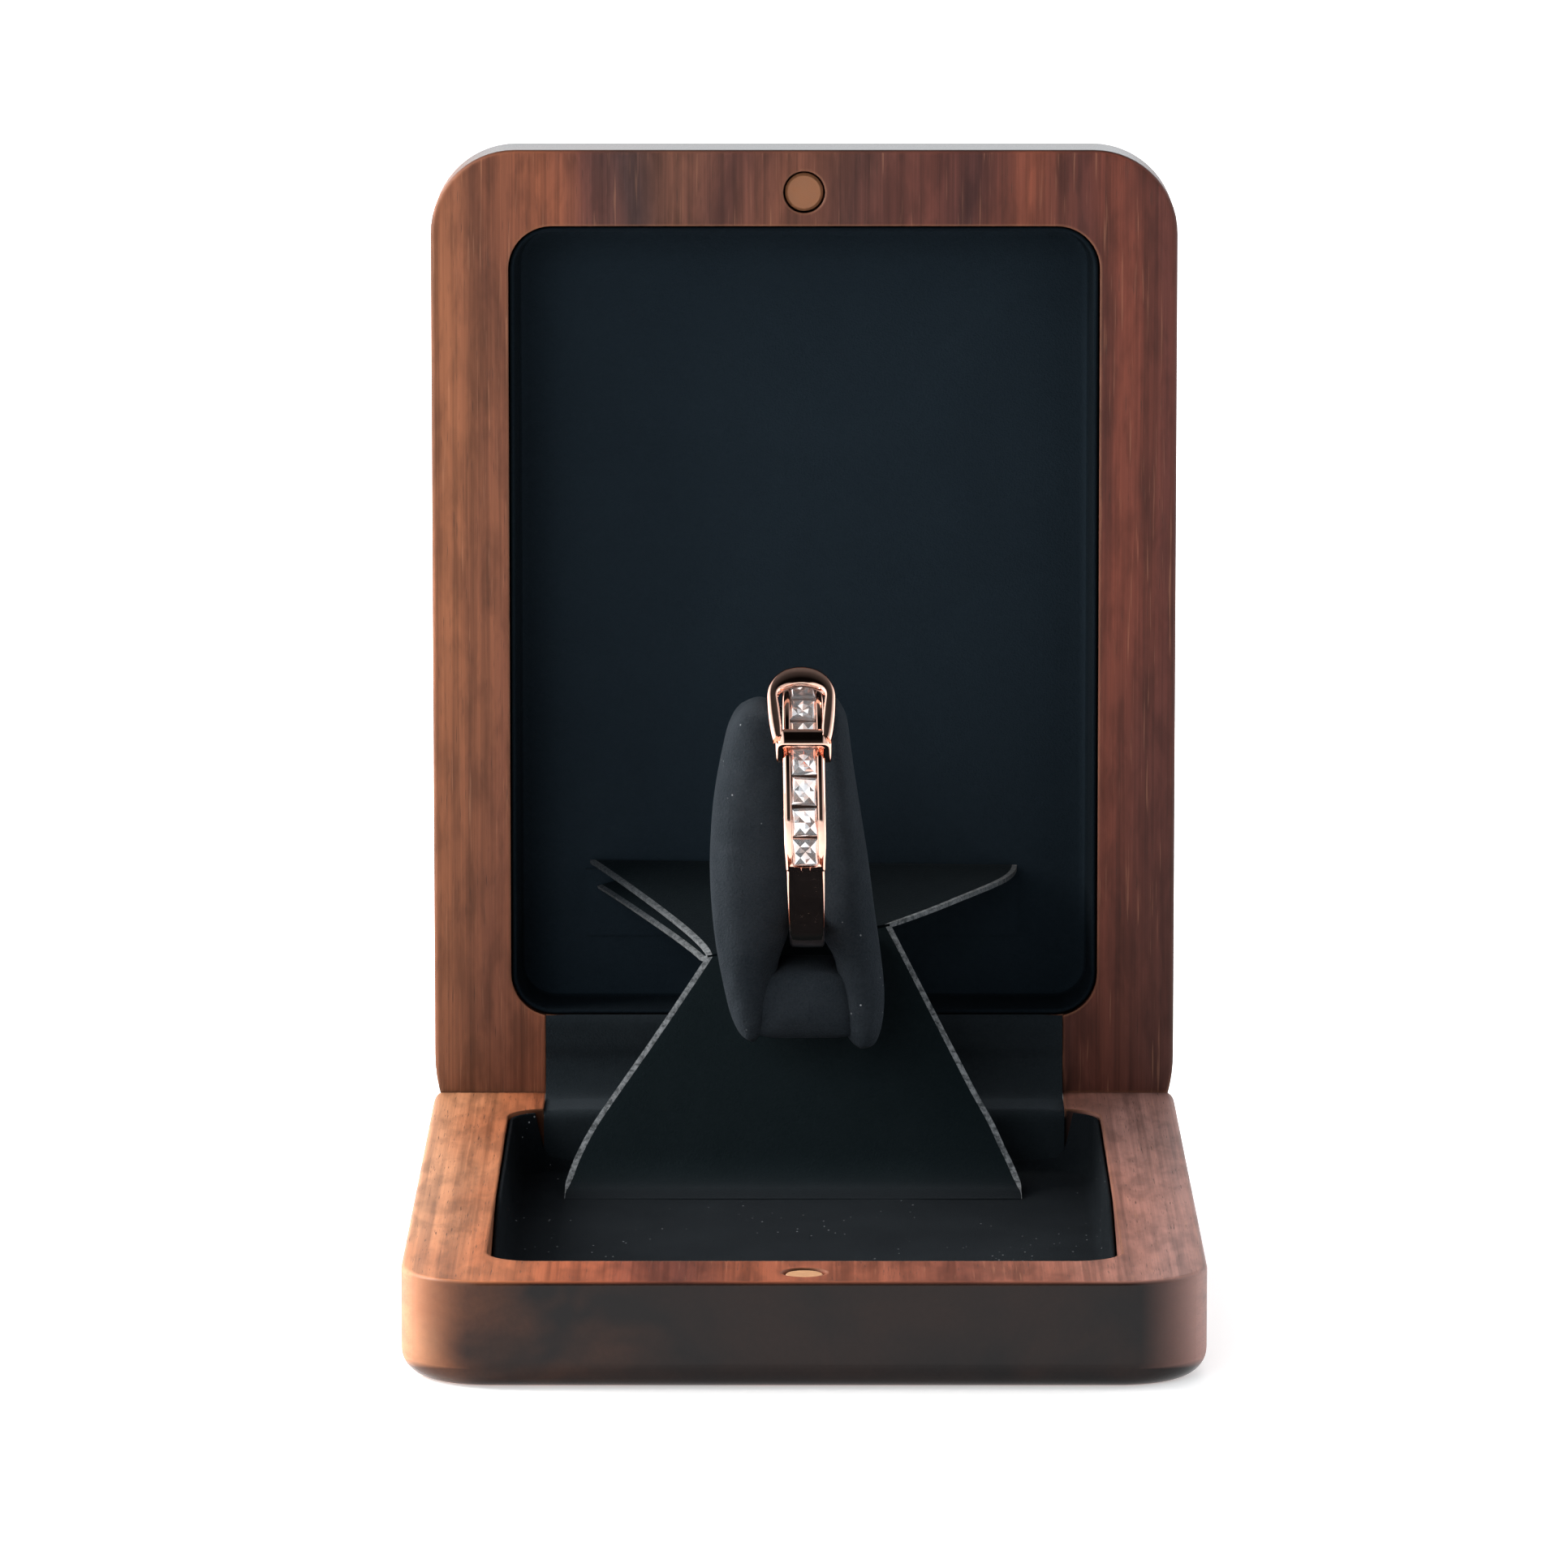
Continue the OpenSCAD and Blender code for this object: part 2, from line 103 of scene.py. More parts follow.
def rounded_outline(half_w, half_l, r, corner_steps=7, side_steps=12):
    """Points round a rectangle with rounded corners, always the same number of them."""
    arcs = []
    for sx, sy, start in ((1, 1, 0), (-1, 1, 90), (-1, -1, 180), (1, -1, 270)):
        arc = []
        for i in range(corner_steps + 1):
            a = math.radians(start + 90 * i / corner_steps)
            arc.append((sx * (half_w - r) + r * math.cos(a), sy * (half_l - r) + r * math.sin(a)))
        arcs.append(arc)
    points = []
    for arc, following in zip(arcs, arcs[1:] + arcs[:1]):
        points += arc
        (x0, y0), (x1, y1) = arc[-1], following[0]
        for i in range(1, side_steps):
            t = i / side_steps
            points.append((x0 + (x1 - x0) * t, y0 + (y1 - y0) * t))
    return points


def spline(table, t):
    """Smooth value at t through (t, value) pairs in rising order."""
    if t <= table[0][0]:
        return table[0][1]
    if t >= table[-1][0]:
        return table[-1][1]
    i = next(k for k in range(len(table) - 1) if t <= table[k + 1][0])
    (t0, v0), (t1, v1) = table[i], table[i + 1]

    def slope(k):
        a, b = table[max(k - 1, 0)], table[min(k + 1, len(table) - 1)]
        return (b[1] - a[1]) / (b[0] - a[0])

    h = t1 - t0
    s = (t - t0) / h
    m0, m1 = slope(i) * h, slope(i + 1) * h
    return (
        (2 * s**3 - 3 * s**2 + 1) * v0 + (s**3 - 2 * s**2 + s) * m0
        + (3 * s**2 - 2 * s**3) * v1 + (s**3 - s**2) * m1
    )


def smooth(t):
    t = min(1, max(0, t))
    return t * t * (3 - 2 * t)


# ---------------------------------------------------------------- materials


class Nodes:
    """Short calls to build a node tree."""

    def __init__(self, tree):
        self.tree = tree

    def node(self, kind, settings=None, **links):
        made = self.tree.nodes.new(kind)
        for key, value in (settings or {}).items():
            setattr(made, key, value)
        for key, value in links.items():
            self.set(made, key.replace("_", " "), value)
        return made

    def set(self, node, key, value):
        socket = node.inputs[int(key)] if key.isdigit() else node.inputs[key]
        if isinstance(value, bpy.types.NodeSocket):
            self.tree.links.new(value, socket)
        else:
            socket.default_value = value

    def math(self, operation, a, b):
        made = self.node("ShaderNodeMath", {"operation": operation})
        self.set(made, "0", a)
        self.set(made, "1", b)
        return made.outputs[0]

    def ramp(self, fac, *stops):
        """Colour ramp through (place, value) stops; a value is a colour or a grey number."""
        made = self.node("ShaderNodeValToRGB", Fac=fac)
        elements = made.color_ramp.elements
        while len(elements) < len(stops):
            elements.new(0.5)
        for element, (at, colour) in zip(elements, stops):
            element.position = at
            element.color = (*colour, 1) if isinstance(colour, tuple) else (colour,) * 3 + (1,)
        return made.outputs["Color"]


class Paint(Nodes):
    """A Principled material."""

    def __init__(self, name, **inputs):
        self.mat = bpy.data.materials.new(name)
        self.mat.use_nodes = True
        super().__init__(self.mat.node_tree)
        self.shader = self.tree.nodes["Principled BSDF"]
        for key, value in inputs.items():
            self.shader.inputs[key.replace("_", " ")].default_value = value

    def to(self, key, value):
        self.set(self.shader, key, value)

    def coords(self, scale=(1, 1, 1), shift=(0, 0, 0)):
        """Object coordinates in millimetres, stretched by scale."""
        place = self.node("ShaderNodeTexCoord").outputs["Object"]
        size = tuple(s / MM for s in scale)
        return self.node(
            "ShaderNodeMapping", Vector=place, Scale=size, Location=shift
        ).outputs["Vector"]

    def along(self, axis):
        """Object coordinate along one axis, in millimetres."""
        return self.node("ShaderNodeSeparateXYZ", Vector=self.coords()).outputs[axis]

    def share(self, value, start, end):
        """0 to 1 as value goes from start to end."""
        return self.node(
            "ShaderNodeMapRange", Value=value, From_Min=start, From_Max=end
        ).outputs["Result"]

    def noise(self, vector, scale, detail=3.0, rough=0.5, distortion=0.0):
        return self.node(
            "ShaderNodeTexNoise", Vector=vector, Scale=scale, Detail=detail,
            Roughness=rough, Distortion=distortion,
        ).outputs["Fac"]

    def mix(self, fac, a, b, blend="MIX"):
        made = self.tree.nodes.new("ShaderNodeMix")
        made.data_type = "RGBA"
        made.blend_type = blend
        for index, value in ((0, fac), (6, a), (7, b)):
            self.set(made, str(index), (*value, 1) if isinstance(value, tuple) else value)
        return made.outputs[2]

    def bump(self, height, distance, strength=1.0, normal=None):
        links = {"Height": height, "Distance": distance, "Strength": strength}
        if normal is not None:
            links["Normal"] = normal
        self.to("Normal", self.node("ShaderNodeBump", **links).outputs["Normal"])


HEARTWOOD_AND_SHADE = (0.040, 0.016, 0.012)
PAINTED_GLINT = (0.40, 0.190, 0.110)
PORE = (0.030, 0.014, 0.010)
END_GRAIN_AND_SHADE, END_PATCH_AND_LIGHT = (0.0050, 0.0040, 0.0043), (0.060, 0.022, 0.011)
WORN_EDGE = (0.34, 0.15, 0.08)
WORN_RADIUS = 0.35 * MM
FIGURE_HALF = 28  # the bands of a board's figure lie between -28 and 28 mm


def wood(name, along, bands, dark, seed):
    """Oiled walnut. along is the axis index of the grain, bands the figure from left to right, with
    painted light in the base's bands, and dark the places along the grain where the heartwood,
    with painted shade towards the right, starts and is full."""
    p = Paint(name, Coat_IOR=1.3)
    shift = (seed * 13.1, seed * 7.7, seed * 3.9)

    def stretched(across, lengthwise):
        scale = [across] * 3
        scale[along] = lengthwise
        return p.coords(tuple(scale), shift)

    # End grain: the faces that look along the fibre go dark and even, partly as end grain and
    # partly as painted shade, since little light reaches them.
    facing = p.node("ShaderNodeSeparateXYZ", Vector=p.node("ShaderNodeTexCoord").outputs["Normal"])
    end = p.math("ABSOLUTE", facing.outputs[along], 0.0)
    # Painted shade: faces turned down take the dark end colour too, for the shade under the box.
    down = p.math("MULTIPLY", facing.outputs["Z"], -1.0)
    under = p.ramp(down, (0.2, 0.0), (0.6, 0.7), (0.9, 0.7), (0.98, 0.0))
    end = p.math("ADD", end, under)
    end_and_underside_mask = p.ramp(end, (0.40, 0.0), (0.97, 1.0))
    side = p.ramp(end, (0.15, 1.0), (0.60, 0.12))

    # The bands run along the grain and wander sideways by a millimetre or two.
    wander = p.noise(stretched(0.05, 0.022), 1.0, 3.0, 0.5)
    ripple_in = p.noise(stretched(0.35, 0.03), 1.0, 4.0, 0.6)
    across = p.along("X")
    across = p.math("ADD", across, p.math("MULTIPLY", p.math("SUBTRACT", wander, 0.5), 12.0))
    across = p.math("ADD", across, p.math("MULTIPLY", p.math("SUBTRACT", ripple_in, 0.5), 4.5))
    place = p.share(across, -FIGURE_HALF, FIGURE_HALF)
    colour = p.ramp(place, *[((x / FIGURE_HALF + 1) / 2, shade) for x, shade in bands])

    # Heartwood: darker towards one end of the piece; painted shade makes it darker towards its
    # right, where less light falls.
    run = p.along("XYZ"[along])
    run = p.math("ADD", run, p.math("MULTIPLY", p.math("SUBTRACT", wander, 0.5), 30.0))
    right = p.ramp(p.share(across, 5.0, 24.0), (0.0, 0.30), (1.0, 0.62))
    colour = p.mix(p.math("MULTIPLY", p.share(run, *dark), right), colour, HEARTWOOD_AND_SHADE)

    fibre = p.noise(stretched(6.5, 0.05), 1.0, 4.0, 0.6)
    veins = p.noise(stretched(1.3, 0.014), 1.0, 5.0, 0.62)
    mottle = p.noise(stretched(0.75, 0.20), 1.0, 3.0, 0.55, 0.3)
    for amount, shade in (
        (0.45, p.ramp(fibre, (0.34, 0.58), (0.62, 1.0))),
        (0.6, p.ramp(veins, (0.36, 0.40), (0.54, 1.0))),
        (0.6, p.ramp(mottle, (0.36, 0.52), (0.58, 1.08))),
    ):
        colour = p.mix(p.math("MULTIPLY", side, amount), colour, shade, "MULTIPLY")
    # Painted highlight: pale glints on the side grain stand in for light catching the fibres.
    painted_glint = p.ramp(p.noise(stretched(5.0, 0.16), 1.0, 2.0, 0.5), (0.64, 0.0), (0.76, 0.22))
    colour = p.mix(p.math("MULTIPLY", side, painted_glint), colour, PAINTED_GLINT)
    pores = p.noise(stretched(13.0, 0.45), 1.0, 1.0, 0.4)
    pore_mask = p.math("MULTIPLY", side, p.ramp(pores, (0.24, 0.75), (0.31, 0.0)))
    colour = p.mix(pore_mask, colour, PORE)

    # Brown patches on the end faces, more of them towards the left: partly figure, partly painted
    # light from the left.
    blotch_and_left_light = p.noise(p.coords((0.10, 0.05, 0.13), shift), 1.0, 3.0, 0.55, 0.4)
    left = p.ramp(p.share(across, -8.0, -24.0), (0, 0.12), (1, 1.0))
    blotch_and_left_light = p.math("MULTIPLY", p.ramp(blotch_and_left_light, (0.40, 0.0), (0.60, 1.0)), left)
    end_grain_shade_and_light = p.mix(blotch_and_left_light, END_GRAIN_AND_SHADE, END_PATCH_AND_LIGHT)
    speckle = p.noise(p.coords((3.0, 3.0, 3.0), shift), 1.0, 3.0, 0.6)
    end_grain_shade_and_light = p.mix(0.4, end_grain_shade_and_light, p.ramp(speckle, (0.35, 0.6), (0.65, 1.0)), "MULTIPLY")
    # The end colour is partly end grain and partly painted shade on the end faces and the faces
    # turned down.
    colour = p.mix(end_and_underside_mask, colour, end_grain_shade_and_light)
    p.to("Coat Weight", p.ramp(end_and_underside_mask, (0.0, 0.12), (1.0, 0.80)))
    p.to("Coat Roughness", p.ramp(end_and_underside_mask, (0.0, 0.30), (1.0, 0.16)))
    p.to("Specular IOR Level", p.ramp(end_and_underside_mask, (0.0, 0.18), (1.0, 0.03)))

    # Worn edges: where the rounded normal leaves the true one, the oil has rubbed off.
    soft_normal = p.node("ShaderNodeBevel", {"samples": 6}, Radius=WORN_RADIUS).outputs["Normal"]
    true_normal = p.node("ShaderNodeNewGeometry").outputs["True Normal"]
    turned = p.node("ShaderNodeVectorMath", {"operation": "DOT_PRODUCT"})
    p.set(turned, "0", soft_normal)
    p.set(turned, "1", true_normal)
    rub = p.noise(p.coords((0.25, 0.25, 0.25), shift), 1.0, 3.0, 0.6)
    worn = p.math("MULTIPLY", p.ramp(turned.outputs["Value"], (0.90, 0.6), (0.995, 0.0)), rub)
    p.to("Base Color", p.mix(worn, colour, WORN_EDGE))
    p.to("Roughness", p.ramp(veins, (0.3, 0.50), (0.7, 0.60)))
    height = p.mix(pore_mask, p.ramp(fibre, (0.2, 0.40), (0.8, 0.60)), (0.0, 0.0, 0.0))
    p.bump(height, 0.035 * MM, 0.6, soft_normal)
    return p.mat


def suede(name, dark, light, sheen=0.35, lint=0.0, lift=1.0, rubbed=None):
    """Short-nap suede: mottled, with brushed patches, fine nap and a little lint.

    rubbed is a colour that the nap has at one Y, in millimetres, and has lost at another.
    """
    p = Paint(
        name, Roughness=0.95, Specular_IOR_Level=0.05, Sheen_Weight=sheen,
        Sheen_Roughness=0.45, Sheen_Tint=(0.55, 0.66, 0.78, 1),
    )
    patches = p.noise(p.coords((0.10, 0.10, 0.10)), 1.0, 4.0, 0.6, 0.4)
    nap = p.noise(p.coords((6.0, 6.0, 6.0)), 1.0, 3.0, 0.7)
    mix = p.math("ADD", p.math("MULTIPLY", patches, 0.65), p.math("MULTIPLY", nap, 0.35))
    colour = p.ramp(mix, (0.35, dark), (0.68, light))
    if rubbed:
        depth = p.along("Y")
        share = p.node(
            "ShaderNodeMapRange", {"interpolation_type": "SMOOTHSTEP"}, Value=depth,
            From_Min=rubbed[1], From_Max=rubbed[2], To_Min=1.0, To_Max=0.0,
        ).outputs["Result"]
        colour = p.mix(share, colour, rubbed[0])
    if lint:
        dots = p.node(
            "ShaderNodeTexVoronoi", Vector=p.coords((1.1, 1.1, 1.1)), Scale=1.0, Randomness=1.0
        )
        fleck = p.ramp(dots.outputs["Distance"], (0.05, 1.0), (0.09, 0.0))
        rare = p.ramp(p.noise(p.coords((0.16, 0.16, 0.16)), 1.0), (0.50, 0.0), (0.60, lint))
        colour = p.mix(p.math("MULTIPLY", fleck, rare), colour, (0.30, 0.32, 0.34))
    p.to("Base Color", colour)
    p.bump(nap, 0.09 * MM * lift, 0.8)
    return p.mat


def card_edge(name):
    """Pale fuzzy core where the suede-faced card is cut."""
    p = Paint(name, Roughness=0.95, Specular_IOR_Level=0.1, Sheen_Weight=0.1)
    fuzz = p.noise(p.coords((2.5, 2.5, 2.5)), 1.0, 4.0, 0.7)
    colour = p.ramp(fuzz, (0.38, (0.045, 0.051, 0.055)), (0.60, (0.185, 0.200, 0.212)))
    # Painted shade: the core darkens towards the lid, where it lies in shadow.
    depth = p.along("Y")
    shade_towards_lid = p.share(depth, 26.0, 40.0)
    shade_towards_lid = p.ramp(shade_towards_lid, (0.0, 0.0), (0.15, 0.30), (0.50, 0.60), (0.85, 0.97))
    p.to("Base Color", p.mix(shade_towards_lid, colour, (0.0075, 0.0120, 0.0160)))
    p.bump(fuzz, 0.15 * MM, 1.0)
    return p.mat


def metal(name, colour, rough, scratch=0.0, metallic=1.0):
    """Polished or plated metal with faint wear in its roughness and height."""
    p = Paint(name, Metallic=metallic)
    wear = p.noise(p.coords((1.5, 1.5, 1.5)), 1.0, 4.0, 0.6)
    dark = tuple(c * 0.88 for c in colour)
    p.to("Base Color", p.ramp(wear, (0.35, dark), (0.65, colour)))
    p.to("Roughness", p.ramp(wear, (0.3, rough * 0.8), (0.7, rough * 1.3)))
    if scratch:
        fine = p.noise(p.coords((9.0, 9.0, 9.0)), 1.0, 3.0, 0.6)
        p.bump(fine, scratch * MM, 0.5)
    return p.mat


# The figure of each half, as x in millimetres and colour: base bright at the left, with painted
# light from the left in it, and greyer at the right, lid orange-brown at the left with one
# grey-brown stripe and redder to the right.
BASE_BANDS_AND_LIGHT = (
    (-27, (0.50, 0.235, 0.122)), (-22, (0.38, 0.130, 0.056)), (-17, (0.310, 0.085, 0.036)),
    (-12, (0.230, 0.060, 0.031)), (-7.5, (0.095, 0.026, 0.017)), (-3, (0.250, 0.070, 0.034)),
    (4, (0.225, 0.068, 0.038)), (9, (0.145, 0.044, 0.028)), (15, (0.225, 0.076, 0.048)),
    (21, (0.270, 0.115, 0.085)), (26, (0.270, 0.138, 0.115)),
)
LID_BANDS = (
    (-26.5, (0.226, 0.084, 0.040)), (-22, (0.155, 0.055, 0.030)), (-17.5, (0.198, 0.063, 0.031)),
    (-14.5, (0.105, 0.036, 0.026)), (-11.5, (0.048, 0.024, 0.022)), (-8, (0.120, 0.047, 0.030)),
    (-4.5, (0.088, 0.032, 0.024)), (-1, (0.135, 0.048, 0.029)), (4, (0.070, 0.026, 0.020)),
    (10, (0.105, 0.032, 0.023)), (13, (0.060, 0.020, 0.017)), (16, (0.165, 0.046, 0.026)),
    (19.5, (0.072, 0.022, 0.017)), (23.5, (0.140, 0.037, 0.023)), (27, (0.085, 0.025, 0.019)),
)
BASE_WOOD = wood("walnut_base", 1, BASE_BANDS_AND_LIGHT, (60, 90), 1.0)
LID_WOOD = wood("walnut_lid", 2, LID_BANDS, (44, 12), 2.3)
LID_SUEDE = suede("suede_lid", (0.0064, 0.0108, 0.0152), (0.0076, 0.0128, 0.0178), 0.02)
FLOOR_SUEDE = suede("suede_floor", (0.0030, 0.0044, 0.0058), (0.0070, 0.0092, 0.0112), 0.01, 0.9)
STRIP_SUEDE = suede("suede_strip", (0.0060, 0.0088, 0.0110), (0.0110, 0.0150, 0.0180), 0.04)
CARD_FACE = suede(
    "suede_card_face", (0.0036, 0.0068, 0.0082), (0.0056, 0.0094, 0.0112), 0.02,
    rubbed=((0.0052, 0.0070, 0.0086), 17.0, 22.2),
)
# Painted shade: a darker copy of the card suede for the upper panel and its ply, deep in the lid.
CARD_TOP_SHADE = suede("suede_card_top_shade", (0.0016, 0.0034, 0.0046), (0.0028, 0.0052, 0.0066), 0.01)
# Painted shade: a darker copy of the lid suede for the lining's sides and folded edge.
LID_WALL_SHADE = suede("suede_lid_wall_shade", (0.0034, 0.0060, 0.0086), (0.0044, 0.0076, 0.0106), 0.0)
CARD_EDGE = card_edge("card_cut_edge")
CUSHION_SUEDE = suede(
    "suede_cushion", (0.0085, 0.0122, 0.0160), (0.0236, 0.0288, 0.0346), 0.04, 1.0, 3.0
)
ROSE_GOLD = metal("rose_gold_polish", (0.93, 0.58, 0.46), 0.05)
MAGNET = metal("magnet_copper", (0.50, 0.27, 0.14), 0.50, 0.02, 0.25)
LID_MAGNET = metal("magnet_copper_dull", (0.20, 0.082, 0.036), 0.60, 0.02, 0.2)
RIVET = metal("rivet_brass", (0.55, 0.40, 0.18), 0.35, 0.02)


def stone_material():
    """Clear stone: bright, glassy facets over a pale body, with pink patches painted in for the
    rose gold that it reflects.
    """
    p = Paint("clear_stone", Metallic=0.75, Specular_IOR_Level=0.9, Coat_Weight=0.6)
    rose_reflection = p.noise(p.coords((1.6, 1.6, 1.6)), 1.0, 2.0, 0.5)
    # Painted reflection: pink patches in the colour stand in for the rose gold seen in the facets.
    p.to("Base Color", p.ramp(rose_reflection, (0.38, (0.84, 0.66, 0.60)), (0.60, (0.74, 0.74, 0.76))))
    p.to("Roughness", p.ramp(rose_reflection, (0.3, 0.04), (0.7, 0.08)))
    return p.mat


STONE = stone_material()


def dress(obj, *mats):
    obj.data.materials.clear()
    for mat in mats:
        obj.data.materials.append(mat)


def stand_for(obj, body, nodes, slot, *mats):
    """Dresses a piece, puts it on its body, if it has only one, and in place of CAD nodes."""
    dress(obj, *mats)
    if body:
        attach(obj, body)
    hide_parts(*nodes)


for node, mat in {
    "base_tray": BASE_WOOD, "lid_tray": LID_WOOD, "base_magnet": MAGNET, "lid_magnet": LID_MAGNET,
    "turning_rivet": RIVET, "upper_glue_flap": LID_SUEDE, "waist_tongue": CARD_FACE,
}.items():
    dress(cad[node], mat)


# ---------------------------------------------------------------- linings and hinge strip

ROLL = 0.16  # radius of a lining's folded edge
UNDULATION = 0.03  # how far glued suede strays from flat
LINING_FIT = 0.03  # how much a glued lining closes up the seam round it
LINING_R = 3.05  # radius of a lining's corners
WALL = 0.5  # thickness of a lining on the pocket's side
COVE = 0.7  # radius between a lining's side and its floor
COVE_GAP = 0.2  # from the cove to the first step on the floor
MIDDLE_LEFT = 0.4  # half-width that the last step leaves in the middle


def ripple(x, y, seed):
    return UNDULATION * 2 * noise.noise(Vector((x * 0.16, y * 0.16, seed)))


def pan(name, half_w, half_l, r, steps, place, seed):
    """A lining from (inset, depth) steps, inset from the outline and depth through place().

    A depth is a number, or a function of the place in the outline.
    """
    rings = []
    for inset, depth in steps:
        outline = rounded_outline(half_w - inset, half_l - inset, max(r - inset, 0.3))
        loose = min(1, max(0, inset - 1.5))
        rings.append([
            place(u, v, (depth(u, v) if callable(depth) else depth) + loose * ripple(u, v, seed))
            for u, v in outline
        ])
    return add_mesh(name, *loft(rings))


def inward(start, top, half_w):
    """Steps that cover the inside of a pan from start to the middle at one depth."""
    reach = half_w - MIDDLE_LEFT - start
    return [(start + reach * t, top) for t in (0.04, 0.1, 0.2, 0.35, 0.5, 0.65, 0.8, 0.92, 1)]


def side_steps(outer, top, floor):
    """Steps up an outer side, over its folded edge, down inside and round the cove."""
    sign = 1 if outer < floor or callable(top) else -1
    steps = [(0, outer)]
    for a in range(0, 181, 30):
        drop = ROLL * (1 - math.sin(math.radians(a)))
        inset = ROLL * (1 - math.cos(math.radians(a)))
        if callable(top):
            steps.append((inset, lambda u, v, drop=drop: top(u, v) - drop))
        else:
            steps.append((inset, top - sign * drop))
    steps.append((WALL, floor + sign * COVE))
    for a in (22, 45, 67, 90):
        inset = WALL + COVE * (1 - math.cos(math.radians(a)))
        steps.append((inset, floor + sign * COVE * (1 - math.sin(math.radians(a)))))
    return steps


low, high = box_mm("base_floor_lining")
half_w, half_l = (high.x - low.x) / 2 + LINING_FIT, (high.y - low.y) / 2 + LINING_FIT
mid_y = (low.y + high.y) / 2
rim_z = box_mm("base_tray")[1].z


FRONT_CLIMB, CLIMB, CLIMB_RUN = 1.1, 3.8, 26
BEHIND_STRIP = 19.7  # half-width behind the hinge strip, where the side lining stops low


def base_wall_top(u, v):
    """The base's side lining climbs from the front rim to the hinge and stops at the strip."""
    climb = low.z + FRONT_CLIMB + CLIMB * smooth((v + half_l) / CLIMB_RUN)
    behind = smooth((BEHIND_STRIP - abs(u)) / 0.6) if mid_y + v > 20 else 0
    return climb + (high.z + 0.25 + COVE - climb) * behind


base_steps = side_steps(low.z, base_wall_top, high.z)
base_steps += inward(WALL + COVE + COVE_GAP, high.z, half_w)
floor_lining = pan(
    "floor_lining_suede", half_w, half_l, LINING_R, base_steps,
    lambda u, v, depth: (u, mid_y + v, min(depth, rim_z - 0.12)), 1.7,
)
stand_for(
    floor_lining, "base", ("base_floor_lining", "base_left_lining", "base_right_lining"), "suede",
    FLOOR_SUEDE,
)

low, high = box_mm("lid_lining")
half_w, half_l = (high.x - low.x) / 2 + LINING_FIT, (high.z - low.z) / 2 + LINING_FIT
mid_z = (low.z + high.z) / 2
back_y = high.y - WALL
lid_steps = side_steps(high.y, low.y, back_y)
lid_steps += inward(WALL + COVE + COVE_GAP, back_y, half_w)
lid_lining = pan(
    "lid_lining_suede", half_w, half_l, LINING_R, lid_steps,
    lambda u, v, depth: (u, depth, mid_z + v), 5.1,
)
stand_for(lid_lining, "lid", ("lid_lining",), "suede", LID_SUEDE, LID_WALL_SHADE)
# Painted shade: the sides and folded edge of the lid's lining take the darker copy of its suede.
for polygon in lid_lining.data.polygons:
    polygon.material_index = int(polygon.center.y / MM < back_y - 0.25)


def arc_points(cy, cz, r, start, end, count):
    """Points (y, z) on an arc, angles in degrees from +Y towards +Z."""
    found = []
    for i in range(count + 1):
        a = math.radians(start + (end - start) * i / count)
        found.append((cy + r * math.cos(a), cz + r * math.sin(a)))
    return found


def hinge_strip():
    """One strip of suede from the base's floor, over both rims, bent freely between them."""
    (_, strip_back, _), (_, _, strip_top) = box_mm("base_hinge_strip")
    strip_low, strip_high = box_mm("lid_hinge_strip")
    floor_z = box_mm("base_floor_lining")[1].z
    half_w = box_mm("base_hinge_strip")[1].x + 0.12
    t = 0.44
    rim_roll, bend, end_roll = 0.5, 2.95, 0.4
    rear_y = strip_back - t / 2 - 0.02
    rim_z = strip_top - t / 2
    lid_y = strip_low.y + 0.02
    path = [(rear_y, floor_z + 0.25 + (rim_z - 0.9 - floor_z) * i / 6) for i in range(7)]
    path += arc_points(rear_y + rim_roll, rim_z - rim_roll, rim_roll, 180, 90, 5)[1:]
    rim_y, start_y = rear_y + rim_roll, lid_y - bend
    path += [(rim_y + (start_y - rim_y) * i / 8, rim_z) for i in range(1, 8)]
    path += arc_points(start_y, rim_z + bend, bend, -90, 0, 18)
    top_z = strip_high.z - 0.15
    bend_z, end_z = rim_z + bend, top_z - end_roll
    path += [(lid_y, bend_z + (end_z - bend_z) * i / 6) for i in range(1, 7)]
    path += arc_points(lid_y + end_roll, end_z, end_roll, 180, 120, 3)[1:]
    lengths = [0]
    for (y0, z0), (y1, z1) in zip(path, path[1:]):
        lengths.append(lengths[-1] + math.hypot(y1 - y0, z1 - z0))
    across = 22
    rings = []
    for i, (y, z) in enumerate(path):
        (y0, z0), (y1, z1) = path[max(i - 1, 0)], path[min(i + 1, len(path) - 1)]
        run = math.hypot(y1 - y0, z1 - z0)
        ny, nz = -(z1 - z0) / run, (y1 - y0) / run
        lap = 0.22 * smooth((z - 10.45) / 0.3) if y > lid_y - 0.6 else 0
        wave = 0.10 * math.sin(math.pi * smooth(i / len(path)))
        ring = []
        for side, order in ((1, range(across + 1)), (-1, range(across, -1, -1))):
            for j in order:
                x = -half_w + 2 * half_w * j / across
                edge = 1 - 0.5 * max(0, abs(x) / half_w - 0.985) / 0.015
                out = (t / 2 * edge + (lap if side == 1 else 0))
                sway = wave * noise.noise(Vector((x * 0.12, lengths[i] * 0.25, 9.3)))
                ring.append((x, y + ny * (side * out + sway), z + nz * (side * out + sway)))
        rings.append(ring)
    strip = add_mesh("hinge_strip_suede", *loft(rings), sharp=60)
    stand_for(
        strip, None, ("base_hinge_strip", "lid_hinge_strip", "base_rear_lining"), "suede",
        STRIP_SUEDE,
    )
    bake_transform(strip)


hinge_strip()


# ---------------------------------------------------------------- pop-up card

CARD_T = 0.4
CUT_EDGE = 0.36  # width of the pale core that shows along a cut


